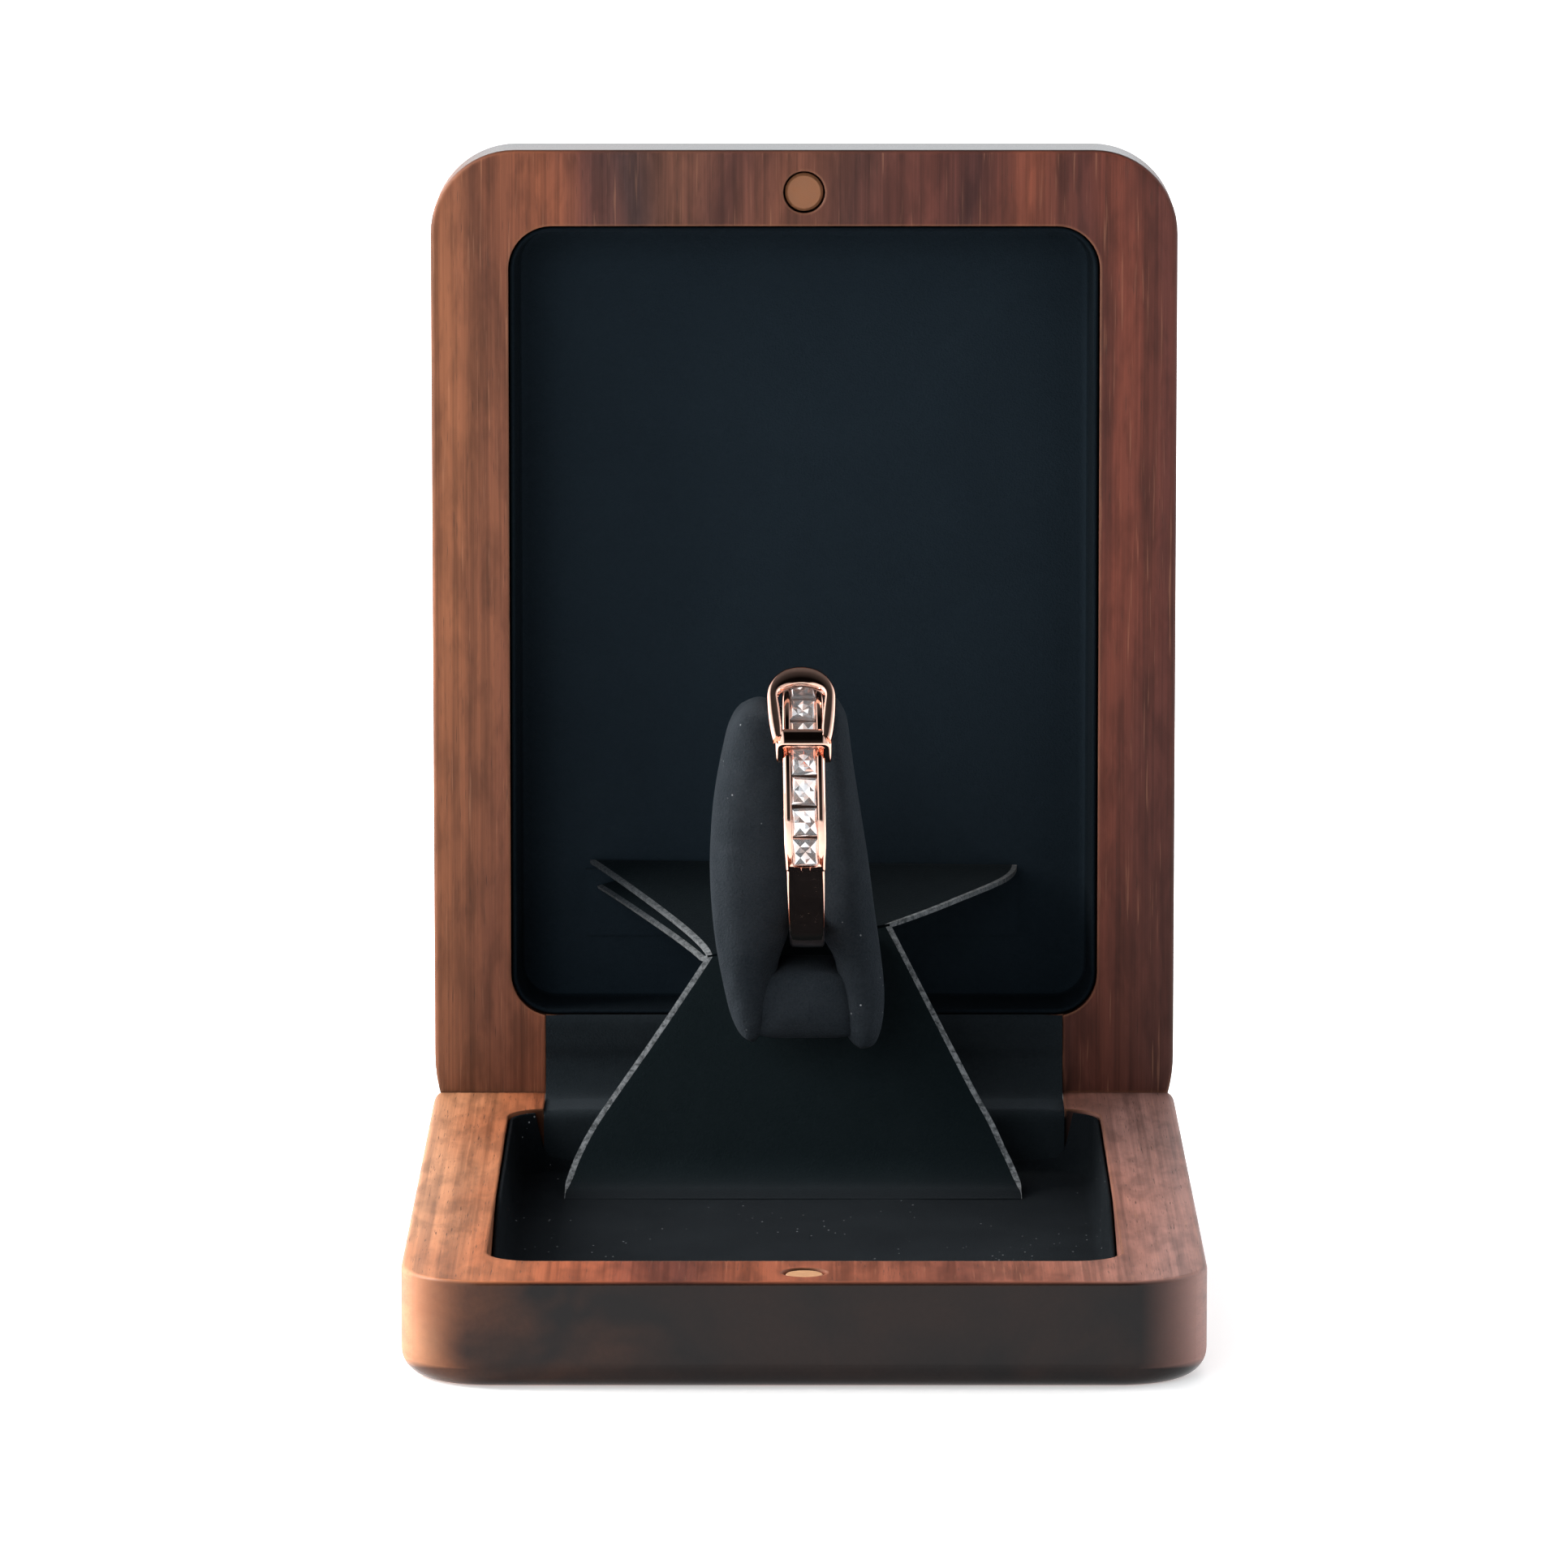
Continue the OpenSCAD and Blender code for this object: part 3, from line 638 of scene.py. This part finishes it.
def card(
    name, shape, body, nodes, thickness=CARD_T, rows=28, columns=24, borders=(1, 1), cut=None,
    face=CARD_FACE,
):
    """Closed slab from shape(v, u), v from fold to fold and u from left to right, and as thick
    as thickness, a number or a function of v.

    borders says which long edges, left and right, show the cut core of the card, and cut(v)
    how wide it shows. Without a body the slab is left free.
    """
    grid = []
    for i in range(rows + 1):
        v = i / rows
        width = (Vector(shape(v, 1)) - Vector(shape(v, 0))).length
        e = (cut(v) if cut else CUT_EDGE) / width
        places = [0] + [e + (1 - 2 * e) * j / (columns - 2) for j in range(columns - 1)] + [1]
        grid.append([Vector(shape(v, u)) for u in places])

    def at(i, j):
        return grid[min(max(i, 0), rows)][min(max(j, 0), columns)]

    points = []
    for side in (1, -1):
        for i in range(rows + 1):
            for j in range(columns + 1):
                across, along = at(i, j + 1) - at(i, j - 1), at(i + 1, j) - at(i - 1, j)
                normal = across.cross(along).normalized()
                rim = i in (0, rows) or j in (0, columns)
                half = (thickness(i / rows) if callable(thickness) else thickness) / 2
                half *= 0.8 if rim else 1
                points.append(at(i, j) + normal * half * side)
    n = columns + 1
    layer = (rows + 1) * n
    faces = []
    pale = []
    for i in range(rows):
        for j in range(columns):
            quad = (i * n + j, i * n + j + 1, (i + 1) * n + j + 1, (i + 1) * n + j)
            faces.append(quad)
            faces.append(tuple(layer + q for q in reversed(quad)))
            pale += [(j == 0 and borders[0]) or (j == columns - 1 and borders[1])] * 2
    ring = [j for j in range(n)] + [i * n + columns for i in range(1, rows + 1)]
    ring += [rows * n + j for j in range(columns - 1, -1, -1)]
    ring += [i * n for i in range(rows - 1, 0, -1)]
    for a, b in zip(ring, ring[1:] + ring[:1]):
        faces.append((a, b, layer + b, layer + a))
        left, right = (a % n == b % n == edge for edge in (0, columns))
        pale.append((left and borders[0]) or (right and borders[1]))
    obj = add_mesh(name, points, faces)
    stand_for(obj, body, nodes, "suede_card", face, CARD_EDGE)
    for polygon, shown in zip(obj.data.polygons, pale):
        polygon.material_index = int(bool(shown))
    return obj


HEAD_Y, HEAD_Z = 40.4, 24.1
WAIST_LEFT = Vector((-7.1, 26.10, 19.25))
WAIST_RIGHT = Vector((6.3, 26.80, 21.5))

# The lower card's outline as (height, x): flared and a little hollow at the foot.
LOWER_LEFT = [(3.4, -17.45), (4.1, -17.2), (5.0, -16.85), (6.5, -16.1), (7.8, -15.3),
              (9.5, -14.1), (14, -10.85), (19.3, WAIST_LEFT.x - 0.1)]
LOWER_RIGHT = [(3.4, 15.85), (4.1, 15.55), (5.1, 15.1), (6.1, 14.6), (7.4, 14.0), (8.8, 13.2),
               (10.1, 12.45), (21.5, WAIST_RIGHT.x + 0.1)]
FLAP_FRONT = 16.8  # where the glued flap in front of the fold ends
FLAP_SHARE, BEND_SHARE = 0.14, 0.34  # parts of the rows that lie flat, and that end the bend
BEND = (Vector((19.0, 3.22)), Vector((21.2, 3.3)), Vector((21.85, 5.4)))


def lower_card(v, u):
    """Glued flap on the base's floor, a soft bend at the foot and a straight slope to the waist."""
    waist = WAIST_LEFT.lerp(WAIST_RIGHT, u)
    if v < FLAP_SHARE:
        front = Vector((FLAP_FRONT, BEND[0].y - 0.475 * CARD_T))
        place = front.lerp(BEND[0], v / FLAP_SHARE)
    elif v < BEND_SHARE:
        t = (v - FLAP_SHARE) / (BEND_SHARE - FLAP_SHARE)
        place = BEND[0] * (1 - t) ** 2 + BEND[1] * 2 * t * (1 - t) + BEND[2] * t * t
    else:
        t = (v - BEND_SHARE) / (1 - BEND_SHARE)
        place = BEND[2].lerp(Vector((waist.y - 0.1, waist.z)), t)
    left, right = spline(LOWER_LEFT, place.y), spline(LOWER_RIGHT, place.y)
    return left + (right - left) * u, place.x, place.y


def lower_thickness(v):
    """The flap is pared thin towards its front."""
    return CARD_T * (0.08 + 0.92 * smooth(v / FLAP_SHARE))


def lower_cut(v):
    return 0.04 + 0.41 * smooth((v - 0.05) / 0.2)


def upper_card(v, u, drop=0.0):
    left = WAIST_LEFT.x - 8.9 * v**1.4
    right = WAIST_RIGHT.x + 9.6 * (1 - (1 - v) ** 1.9)
    x = left + (right - left) * u
    waist = WAIST_LEFT.lerp(WAIST_RIGHT, u)
    sag = 0.35 * math.sin(math.pi * v) * (2 * u - 1) - 0.4 * u * smooth((v - 0.3) / 0.6)
    y = waist.y + 0.15 + (HEAD_Y - 0.05 - waist.y) * v
    return x, y, waist.z + (HEAD_Z - waist.z) * v + sag - drop


def side_ply(v, u):
    """Second ply, which parts from the upper panel along its left edge."""
    drop = 1.1 * smooth(v / 0.18) + 0.6 * v
    x, y, z = upper_card(0.01 + 0.96 * v, 0, drop)
    return x + 4.2 * u + 0.2, y, z + u * (drop - 0.45)


lower = card(
    "lower_panel_card", lower_card, None, ["lower_panel", "lower_glue_flap"], lower_thickness,
    rows=44, cut=lower_cut,
)
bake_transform(lower)
# The upper panel and its ply wear the darker, painted-shade copy of the card suede.
card("upper_panel_card", upper_card, "upper_fold", ["upper_panel"], face=CARD_TOP_SHADE)
ply = card(
    "upper_side_ply_card", side_ply, "upper_fold", ["upper_side_ply"], 0.34, borders=(1, 0),
    face=CARD_TOP_SHADE,
)
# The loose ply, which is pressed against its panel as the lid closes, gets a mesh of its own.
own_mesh(ply)


# ---------------------------------------------------------------- ring cushion

SIM_SCALE = 20  # the cloth solver works on a mesh this many times larger
SIM_FRAMES = 20
VOXEL = 0.5
PRESSURE = 4
CUSHION_BACK = box_mm("cushion_left_pad")[1].y
LEFT_OUTER = [(14.4, -3.9), (15.1, -4.4), (16.6, -5.0), (19.5, -5.65), (22, -6.1), (24.9, -6.4),
              (27.8, -6.5), (31.6, -6.3), (34.1, -5.95), (36.8, -5.4), (38.8, -5.0), (39.6, -4.8)]
LEFT_INNER = [(14.4, -3.2), (15.6, -3.0), (17.0, -2.8), (19.4, -2.4), (21.2, -2.05), (22.8, -1.45),
              (28, -1.45), (39.6, -1.5)]
RIGHT_OUTER = [(13.9, 4.9), (14.5, 5.25), (15.3, 5.4), (16.3, 5.5), (18.1, 5.55), (21, 5.25),
               (23.9, 4.85), (27.8, 4.35), (30.7, 3.9), (34.5, 3.3), (36.8, 3.0), (39.0, 2.75),
               (39.9, 2.6)]
RIGHT_INNER = [(13.9, 3.5), (15.6, 3.15), (17.0, 3.0), (19.4, 2.75), (21.2, 2.4), (22.8, 1.5),
               (28, 1.45), (39.9, 1.45)]
FRONT = [(14.0, 14.3), (16, 13.9), (22, 13.55), (30, 13.5), (36, 13.75), (40.3, 14.2)]


def flank(name, outer, inner):
    """One foam roll beside the slit, lofted from its outlines."""
    low_z, high_z = outer[0][0], outer[-1][0]
    rings = []
    rows, around = 44, 28
    cap_rows = 1.7
    power = 0.55  # below 1 squares the section's corners
    for i in range(rows + 1):
        s = i / rows
        z = low_z + (high_z - low_z) * s
        end = min(s, 1 - s) * rows
        close = 0.25 + 0.75 * math.sqrt(1 - (1 - min(end / cap_rows, 1)) ** 2)
        a, b = spline(inner, z), spline(outer, z)
        front = spline(FRONT, z)
        mid_x, half_x = (a + b) / 2, abs(b - a) / 2 * close
        mid_y, half_y = (front + CUSHION_BACK) / 2, (CUSHION_BACK - front) / 2 * (0.6 + 0.4 * close)
        ring = []
        for j in range(around):
            t = 2 * math.pi * j / around
            x, y = (math.copysign(abs(d) ** power, d) for d in (math.cos(t), math.sin(t)))
            ring.append((mid_x + half_x * x, mid_y + half_y * y, z))
        rings.append(ring)
    return add_mesh(name, *loft(rings), sharp=180)


def bridge(name):
    """Lower pad that closes the slit under the ring and faces the front between the lips."""
    rings = []
    rows, columns = 12, 16
    low_z, high_z = 15.3, 20.1
    for i in range(rows + 1):
        s = i / rows
        z = low_z + (high_z - low_z) * s
        left, right = spline(LEFT_INNER, z) - 0.6, spline(RIGHT_INNER, z) + 0.6
        ring = []
        for j in range(columns + 1):
            u = j / columns
            dip = 0.25 * (2 * u - 1) ** 2
            front = 14.35 + 0.35 * abs(2 * s - 1) ** 3 + 0.2 * (2 * u - 1) ** 4
            ring.append((left + (right - left) * u, front, z - dip * s))
        for j in range(columns, -1, -1):
            u = j / columns
            ring.append((left + (right - left) * u, CUSHION_BACK - 0.3, z))
        rings.append(ring)
    return add_mesh(name, *loft(rings), sharp=180)


def puff(obj, pressure, cap):
    """Remeshes a pad, swells it as cloth round its filling and keeps each point within cap."""
    mesh = obj.data
    mesh.transform(Matrix.Scale(SIM_SCALE, 4))
    remesh = obj.modifiers.new("remesh", "REMESH")
    remesh.mode = "VOXEL"
    remesh.voxel_size = VOXEL * MM * SIM_SCALE
    bpy.context.view_layer.objects.active = obj
    bpy.ops.object.modifier_apply(modifier="remesh")
    rest = [v.co.copy() for v in obj.data.vertices]
    cloth = obj.modifiers.new("cloth", "CLOTH")
    settings = cloth.settings
    settings.quality = 6
    settings.mass = 0.25
    settings.tension_stiffness = settings.compression_stiffness = 18
    settings.bending_stiffness = 0.6
    settings.use_pressure = True
    settings.uniform_pressure_force = pressure
    settings.effector_weights.gravity = 0
    cloth.point_cache.frame_start, cloth.point_cache.frame_end = 1, SIM_FRAMES
    for step in range(1, SIM_FRAMES + 1):
        scene.frame_set(step)
    bpy.ops.object.modifier_apply(modifier="cloth")
    scene.frame_set(1)
    for vertex, start in zip(obj.data.vertices, rest):
        moved = vertex.co - start
        limit = cap * MM * SIM_SCALE
        if moved.length > limit:
            vertex.co = start + moved * (limit / moved.length)
    obj.data.transform(Matrix.Scale(1 / SIM_SCALE, 4))
    bm = bmesh.new()
    bm.from_mesh(obj.data)
    for _ in range(2):
        bmesh.ops.smooth_vert(
            bm, verts=bm.verts, factor=0.5, use_axis_x=True, use_axis_y=True, use_axis_z=True
        )
    bmesh.ops.subdivide_edges(bm, edges=bm.edges, cuts=1, use_grid_fill=True, smooth=0.6)
    bm.to_mesh(obj.data)
    bm.free()
    obj.data.shade_smooth()


SLIT = 1.5  # the slit's offset, listed with each roll below: minus for the left, plus for the right
for obj, node, cap, still in (
    (flank("cushion_left_roll", LEFT_OUTER, LEFT_INNER), "cushion_left_pad", 0.35, -SLIT),
    (flank("cushion_right_roll", RIGHT_OUTER, RIGHT_INNER), "cushion_right_pad", 0.3, SLIT),
    (bridge("cushion_bridge"), "cushion_lower_pad", 0.25, 0),
):
    puff(obj, PRESSURE, cap)
    stand_for(obj, "cushion", (node,), "cushion_suede", CUSHION_SUEDE)
    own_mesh(obj)


def backing():
    """Card behind the foam, cut to the cushion's outline, with a hole for the rivet."""
    low, high = box_mm("cushion_backing")
    rivet = box_mm("turning_rivet")
    hole_x, hole_z = (rivet[0].x + rivet[1].x) / 2, (rivet[0].z + rivet[1].z) / 2
    inset, hole_r = 0.6, 0.95
    heights = [low.z + 0.3 + (high.z - low.z - 1.2) * i / 20 for i in range(21)]
    left = [(max(low.x, spline(LEFT_OUTER, z) + inset), z) for z in heights]
    right = [(min(high.x, spline(RIGHT_OUTER, z) - inset), z) for z in reversed(heights)]
    outline = []
    for edge, following in ((left, right), (right, left)):
        (x0, z0), (x1, z1) = edge[-1], following[0]
        outline += edge + [(x0 + (x1 - x0) * i / 8, z0 + (z1 - z0) * i / 8) for i in range(1, 8)]
    hole = []
    for x, z in outline:
        away = Vector((x - hole_x, z - hole_z)).normalized() * hole_r
        hole.append((hole_x + away.x, hole_z + away.y))
    n = len(outline)
    points = [(x, y, z) for ring, y in (
        (outline, low.y), (hole, low.y), (hole, high.y), (outline, high.y)
    ) for x, z in ring]
    faces = []
    for i in range(4):
        for j in range(n):
            k = (j + 1) % n
            a, b = i * n, (i + 1) % 4 * n
            faces.append((a + j, a + k, b + k, b + j))
    return add_mesh("cushion_backing_card", points, faces)


stand_for(backing(), "cushion", ("cushion_backing",), "suede_card", CARD_FACE)


# ---------------------------------------------------------------- ring

shank_low, shank_high = box_mm("ring_shank")
RING_R = 9.9
RING_RI = 8.65
RING_Y = shank_high.y - RING_R
RING_Z = shank_low.z + RING_R
BELT_R = 10.15
BELT_FROM, BELT_TO = -17.5, 121


def tilted(x, y, z):
    """The ring leans a degree to the left in the slit."""
    return x + 0.06 - 0.018 * (z - RING_Z), y, z


def ring_point(angle, r, x):
    """Point at an angle from straight ahead, rising over the top, at radius r."""
    a = math.radians(angle)
    return tilted(x, RING_Y - r * math.cos(a), RING_Z + r * math.sin(a))


def sweep(name, angles, profile, sharp=50):
    """Closed profile(angle) of (x, r) pairs swept round the ring."""
    rings = [[ring_point(a, r, x) for x, r in profile(a)] for a in angles]
    return add_mesh(name, *loft(rings), sharp=sharp)


def band_profile(angle):
    """Flat-topped band with rounded shoulders and a comfort fit, narrower at the back."""
    back = smooth((angle - BELT_TO) / 60) * smooth((360 + BELT_FROM - angle) / 60)
    half = 1.36 - 0.12 * back
    round_x, round_r = 0.225, 0.33
    outer = []
    for i in range(6):
        a = math.radians(90 * i / 5)
        outer.append((half - round_x * (1 - math.sin(a)), RING_R - round_r * (1 - math.cos(a))))
    right = [(half - 0.12, RING_RI + 0.02), (half, RING_RI + 0.16)]
    right += [(x, r) for x, r in reversed(outer)]
    crown = [
        (x * (half - round_x), RING_R + 0.02 * (1 - x * x)) for x in (0.66, 0.33, 0, -0.33, -0.66)
    ]
    return right + crown + [(-x, r) for x, r in reversed(right)] + [(0, RING_RI)]


def spread(start, end, step):
    count = max(1, round(abs(end - start) / step))
    return [start + (end - start) * i / count for i in range(count + 1)]


sweep("ring_band", spread(BELT_TO - 3, 360 + BELT_FROM + 3, 2.0), band_profile)

CHANNEL_HALF = 0.92
CHANNEL_R = 9.45


def belt_profile(angle):
    """Belt with a channel between two walls, closed and rounded at both ends."""
    from_end = min(angle - BELT_FROM, BELT_TO - angle) * math.radians(1) * BELT_R
    nose = min(1, from_end / 0.28)
    top = RING_R + 0.02 + (BELT_R - RING_R - 0.02) * math.sqrt(max(0, 1 - (1 - nose) ** 2))
    corner = 0.34
    inside = from_end - 0.42
    if inside <= 0:
        half, floor = 0.3, top
    else:
        s = min(inside, corner)
        half = CHANNEL_HALF - corner + math.sqrt(corner**2 - (corner - s) ** 2)
        floor = CHANNEL_R if inside > 0.02 else top
    w = 1.5 - 0.10 * (1 - smooth(from_end / 2.5))
    side = [(w - 0.10, RING_RI + 0.01), (w - 0.02, RING_RI + 0.14), (w, 9.3), (w, top - 0.26)]
    side += [(w - 0.04, top - 0.13), (w - 0.10, top - 0.05), (w - 0.18, top), (half + 0.10, top)]
    side += [(half + 0.03, top - 0.03), (half, min(top, max(floor, top - 0.10))), (half, floor)]
    return side + [(-x, r) for x, r in reversed(side)]


belt_angles = sorted(
    spread(BELT_FROM, BELT_FROM + 5, 0.18) + spread(BELT_FROM + 5.9, BELT_TO - 5.9, 1.5)
    + spread(BELT_TO - 5, BELT_TO, 0.18)
)
sweep("ring_belt_channel", belt_angles, belt_profile, 35)

STONE_PITCH = 12.6
STONE_COUNT = 10
STONE_START = BELT_FROM + 2 + STONE_PITCH / 2 + 0.2
STONE_HALF_X = 0.90
STONE_HALF_L = 1.01


def stones():
    """Princess-cut stones: a small table in a star of crown facets over straight sides and a flat
    floor.
    """
    points, faces = [], []
    for k in range(STONE_COUNT):
        middle = STONE_START + k * STONE_PITCH
        twist = 0.05 * math.sin(k * 2.3)

        def put(p, q, h):
            c, s = math.cos(twist), math.sin(twist)
            p, q = p * c - q * s, p * s + q * c
            x, along = p * STONE_HALF_X, q * STONE_HALF_L
            points.append(ring_point(middle + math.degrees(along / 10.0), 10.0 + h, x))
            return len(points) - 1

        girdle, edge, star, floor = [], [], [], []
        for i in range(8):
            a = math.radians(45 * i)
            square = 1 / max(abs(math.cos(a)), abs(math.sin(a)))
            c, s = math.cos(a) * square, math.sin(a) * square
            girdle.append(put(0.98 * c, 0.98 * s, 0.0))
            lift = 0.16 if i % 2 == 0 else 0.10
            edge.append(put(0.80 * c, 0.80 * s, lift + 0.03 * math.sin(k + i * 1.7)))
            inner, height = (0.46, 0.15) if i % 2 == 0 else (0.40, 0.01)
            star.append(put(inner * c, inner * s, height + 0.04 * math.sin(k * 1.3 + i)))
            floor.append(put(0.98 * c, 0.98 * s, -0.5))
        centre = put(0.04 * math.sin(k), 0.05 * math.cos(k * 1.9), 0.02 + 0.05 * math.sin(k * 2.1))
        for i in range(8):
            j = (i + 1) % 8
            faces.append((floor[i], floor[j], girdle[j], girdle[i]))
            faces += [(girdle[i], girdle[j], edge[j]), (girdle[i], edge[j], edge[i])]
            if i % 2:
                faces += [(edge[i], edge[j], star[i]), (edge[j], star[j], star[i])]
            else:
                faces += [(edge[i], edge[j], star[j]), (edge[i], star[j], star[i])]
            faces.append((star[i], star[j], centre))
        faces.append(tuple(reversed(floor)))
    return add_mesh("ring_stones_cut", points, faces, sharp=1)


stones()

BUCKLE_ANGLE = 52
BUCKLE_R = 10.38


def on_plate(q, h, x):
    """Point on the buckle's flat plate: q along the band, h above its underside, x across."""
    a = math.radians(BUCKLE_ANGLE)
    out = BUCKLE_R + h
    return tilted(
        x - 0.10,
        RING_Y - out * math.cos(a) + q * math.sin(a),
        RING_Z + out * math.sin(a) + q * math.cos(a),
    )


def buckle():
    """Horseshoe loop: a flat, mostly dark face with narrow bright shoulders, its foot narrower."""
    inner, outer = [], []
    foot, inner_foot, arch, rise = -3.4, -2.95, 0.9, 1.25
    out_table = [(-3.4, 2.07), (-2.45, 2.24), (-1, 2.40), (0, 2.46), (1, 2.49)]
    in_table = [(-2.5, 1.42), (-0.6, 1.55), (1, 1.70)]
    for i in range(15):
        s = i / 14
        q = foot + (arch - foot) * s
        inner.append((spline(in_table, max(q, -2.5)), inner_foot + (arch - inner_foot) * s))
        outer.append((spline(out_table, q), q))
    (in_x, _), (out_x, _) = inner[-1], outer[-1]
    for i in range(1, 30):
        a = math.pi * i / 30
        c, s = math.cos(a), math.sin(a)
        inner.append((in_x * c, arch + rise * s**0.9))
        outer.append((out_x * math.copysign(abs(c) ** 0.94, c), arch + (4.0 - arch) * s**0.94))
    inner += [(-x, q) for x, q in reversed(inner[:15])]
    outer += [(-x, q) for x, q in reversed(outer[:15])]
    profile = [(0, 0.06), (0, 0.44), (0.04, 0.53), (0.10, 0.58), (0.22, 0.60), (0.5, 0.61),
               (0.72, 0.59), (0.84, 0.53), (0.92, 0.43), (0.97, 0.27), (1.0, 0.12), (0.97, 0.03)]
    rings = []
    for (xi, qi), (xo, qo) in zip(inner, outer):
        rings.append([on_plate(qi + (qo - qi) * t, h, xi + (xo - xi) * t) for t, h in profile])
    return add_mesh("ring_buckle_loop", *loft(rings), sharp=60)


buckle()


def keeper():
    """Domed bar across the belt, with a leg down each side."""
    half_w, top, foot, corner = 1.97, 11.32, 9.3, 0.7
    path = [(half_w, foot + (top - corner - foot) * i / 4) for i in range(5)]
    for i in range(1, 7):
        a = math.radians(90 * i / 6)
        path.append((half_w - corner + corner * math.cos(a), top - corner + corner * math.sin(a)))
    path += [(-x, r) for x, r in reversed(path)]
    rings = []
    for i, (x, r) in enumerate(path):
        (x0, r0), (x1, r1) = path[max(i - 1, 0)], path[min(i + 1, len(path) - 1)]
        run = math.hypot(x1 - x0, r1 - r0)
        nx, nr = (r1 - r0) / run, -(x1 - x0) / run
        half, thick = 3.7, 0.5
        lean = -3.0 * smooth((top - r - 0.2) / 1.4)
        ring = [(half, -thick), (half, -0.42), (half * 0.97, -0.32), (half * 0.88, -0.20),
                (half * 0.66, -0.07), (half * 0.35, 0.01), (0, 0.04)]
        ring += [(-a, b) for a, b in ((half * 0.35, 0.03), (half * 0.7, -0.01), (half * 0.9, -0.07),
                                      (half, -0.2), (half, -thick))]
        rings.append([ring_point(36.4 + lean + a, r + nr * b, x + nx * b) for a, b in ring])
    return add_mesh("ring_keeper_bar", *loft(rings), sharp=60)


keeper()
for name, node, mat, slot in (
    ("ring_band", "ring_shank", ROSE_GOLD, "rose_gold"),
    ("ring_belt_channel", "ring_belt", ROSE_GOLD, "rose_gold"),
    ("ring_buckle_loop", "ring_buckle", ROSE_GOLD, "rose_gold"),
    ("ring_keeper_bar", "ring_keeper", ROSE_GOLD, "rose_gold"),
    ("ring_stones_cut", "ring_stones", STONE, "clear_stone"),
):
    stand_for(bpy.data.objects[name], "ring", (node,), slot, mat)


# ---------------------------------------------------------------- floor, light and camera


def floor():
    """Pale floor that glows behind the box and fades in front of it."""
    bpy.ops.mesh.primitive_plane_add(size=12, location=(0, 0, 0))
    plane = bpy.context.object
    plane.name = "floor"
    p = Paint("pale_floor", Roughness=0.8, Specular_IOR_Level=0.1)
    p.to("Base Color", (0.82, 0.82, 0.82, 1))
    depth = p.node("ShaderNodeSeparateXYZ", Vector=p.node("ShaderNodeTexCoord").outputs["Object"])
    glow = p.node(
        "ShaderNodeMapRange", Value=depth.outputs["Y"], From_Min=-0.12, From_Max=0.15,
        To_Min=0.15, To_Max=0.80,
    ).outputs["Result"]
    p.to("Emission Color", (1, 1, 1, 1))
    p.to("Emission Strength", glow)
    dress(plane, p.mat)


floor()


def area_light(name, place, target, size, watts, colour=(1, 1, 1), mirrored=True):
    data = bpy.data.lights.new(name, "AREA")
    data.shape = "RECTANGLE"
    data.size, data.size_y = size
    data.energy = watts
    data.color = colour
    obj = bpy.data.objects.new(name, data)
    scene.collection.objects.link(obj)
    obj.location = place
    obj.rotation_euler = (Vector(target) - Vector(place)).to_track_quat("-Z", "Y").to_euler()
    obj.visible_glossy = mirrored


area_light("top", (0, 0.55, 0.75), (0, 0.10, 0), (0.9, 0.5), 5.5, mirrored=False)
area_light("fill", (-0.45, -1.25, 0.5), (0, 0.03, 0.04), (0.8, 0.6), 8.2, mirrored=False)
area_light("left", (-0.24, 0.01, 0.15), (0, 0.03, 0.04), (0.14, 0.16), 1.3, (1.0, 0.95, 0.90))
area_light("right", (0.42, 0.03, 0.18), (0, 0.03, 0.04), (0.20, 0.25), 0.35, (0.92, 0.96, 1.0))


def studio():
    """Room that is dark in front and overhead, bright and low behind, with a panel each side."""
    world = bpy.data.worlds.new("studio")
    scene.world = world
    world.use_nodes = True
    n = Nodes(world.node_tree)
    direction = n.node("ShaderNodeTexCoord").outputs["Generated"]
    x, y, z = n.node("ShaderNodeSeparateXYZ", Vector=direction).outputs
    behind = n.ramp(y, (0.0, 0.03), (0.08, 0.30), (0.35, 1.25))
    low = n.ramp(z, (0.0, 1.0), (0.35, 1.0), (0.70, 0.12))
    right = n.ramp(x, (0.30, 0.0), (0.50, 0.8))
    left = n.ramp(n.math("MULTIPLY", x, -1.0), (0.28, 0.0), (0.46, 1.5))
    background = n.tree.nodes["Background"]
    n.set(background, "Color", (0.96, 0.98, 1.0, 1))
    room = n.math("MULTIPLY", behind, low)
    n.set(background, "Strength", n.math("ADD", room, n.math("ADD", left, right)))


studio()

camera = bpy.data.cameras.new("camera")
camera.lens = 231.97
camera.sensor_width = 36
camera.shift_x = -0.01284
camera.shift_y = 0.00034
camera.clip_end = 50
camera_obj = bpy.data.objects.new("camera", camera)
scene.collection.objects.link(camera_obj)
camera_obj.location = (0, -0.7055, 0.14407)
camera_obj.rotation_euler = (math.radians(81.30), 0, 0)
scene.camera = camera_obj
scene.view_settings.view_transform = "Standard"
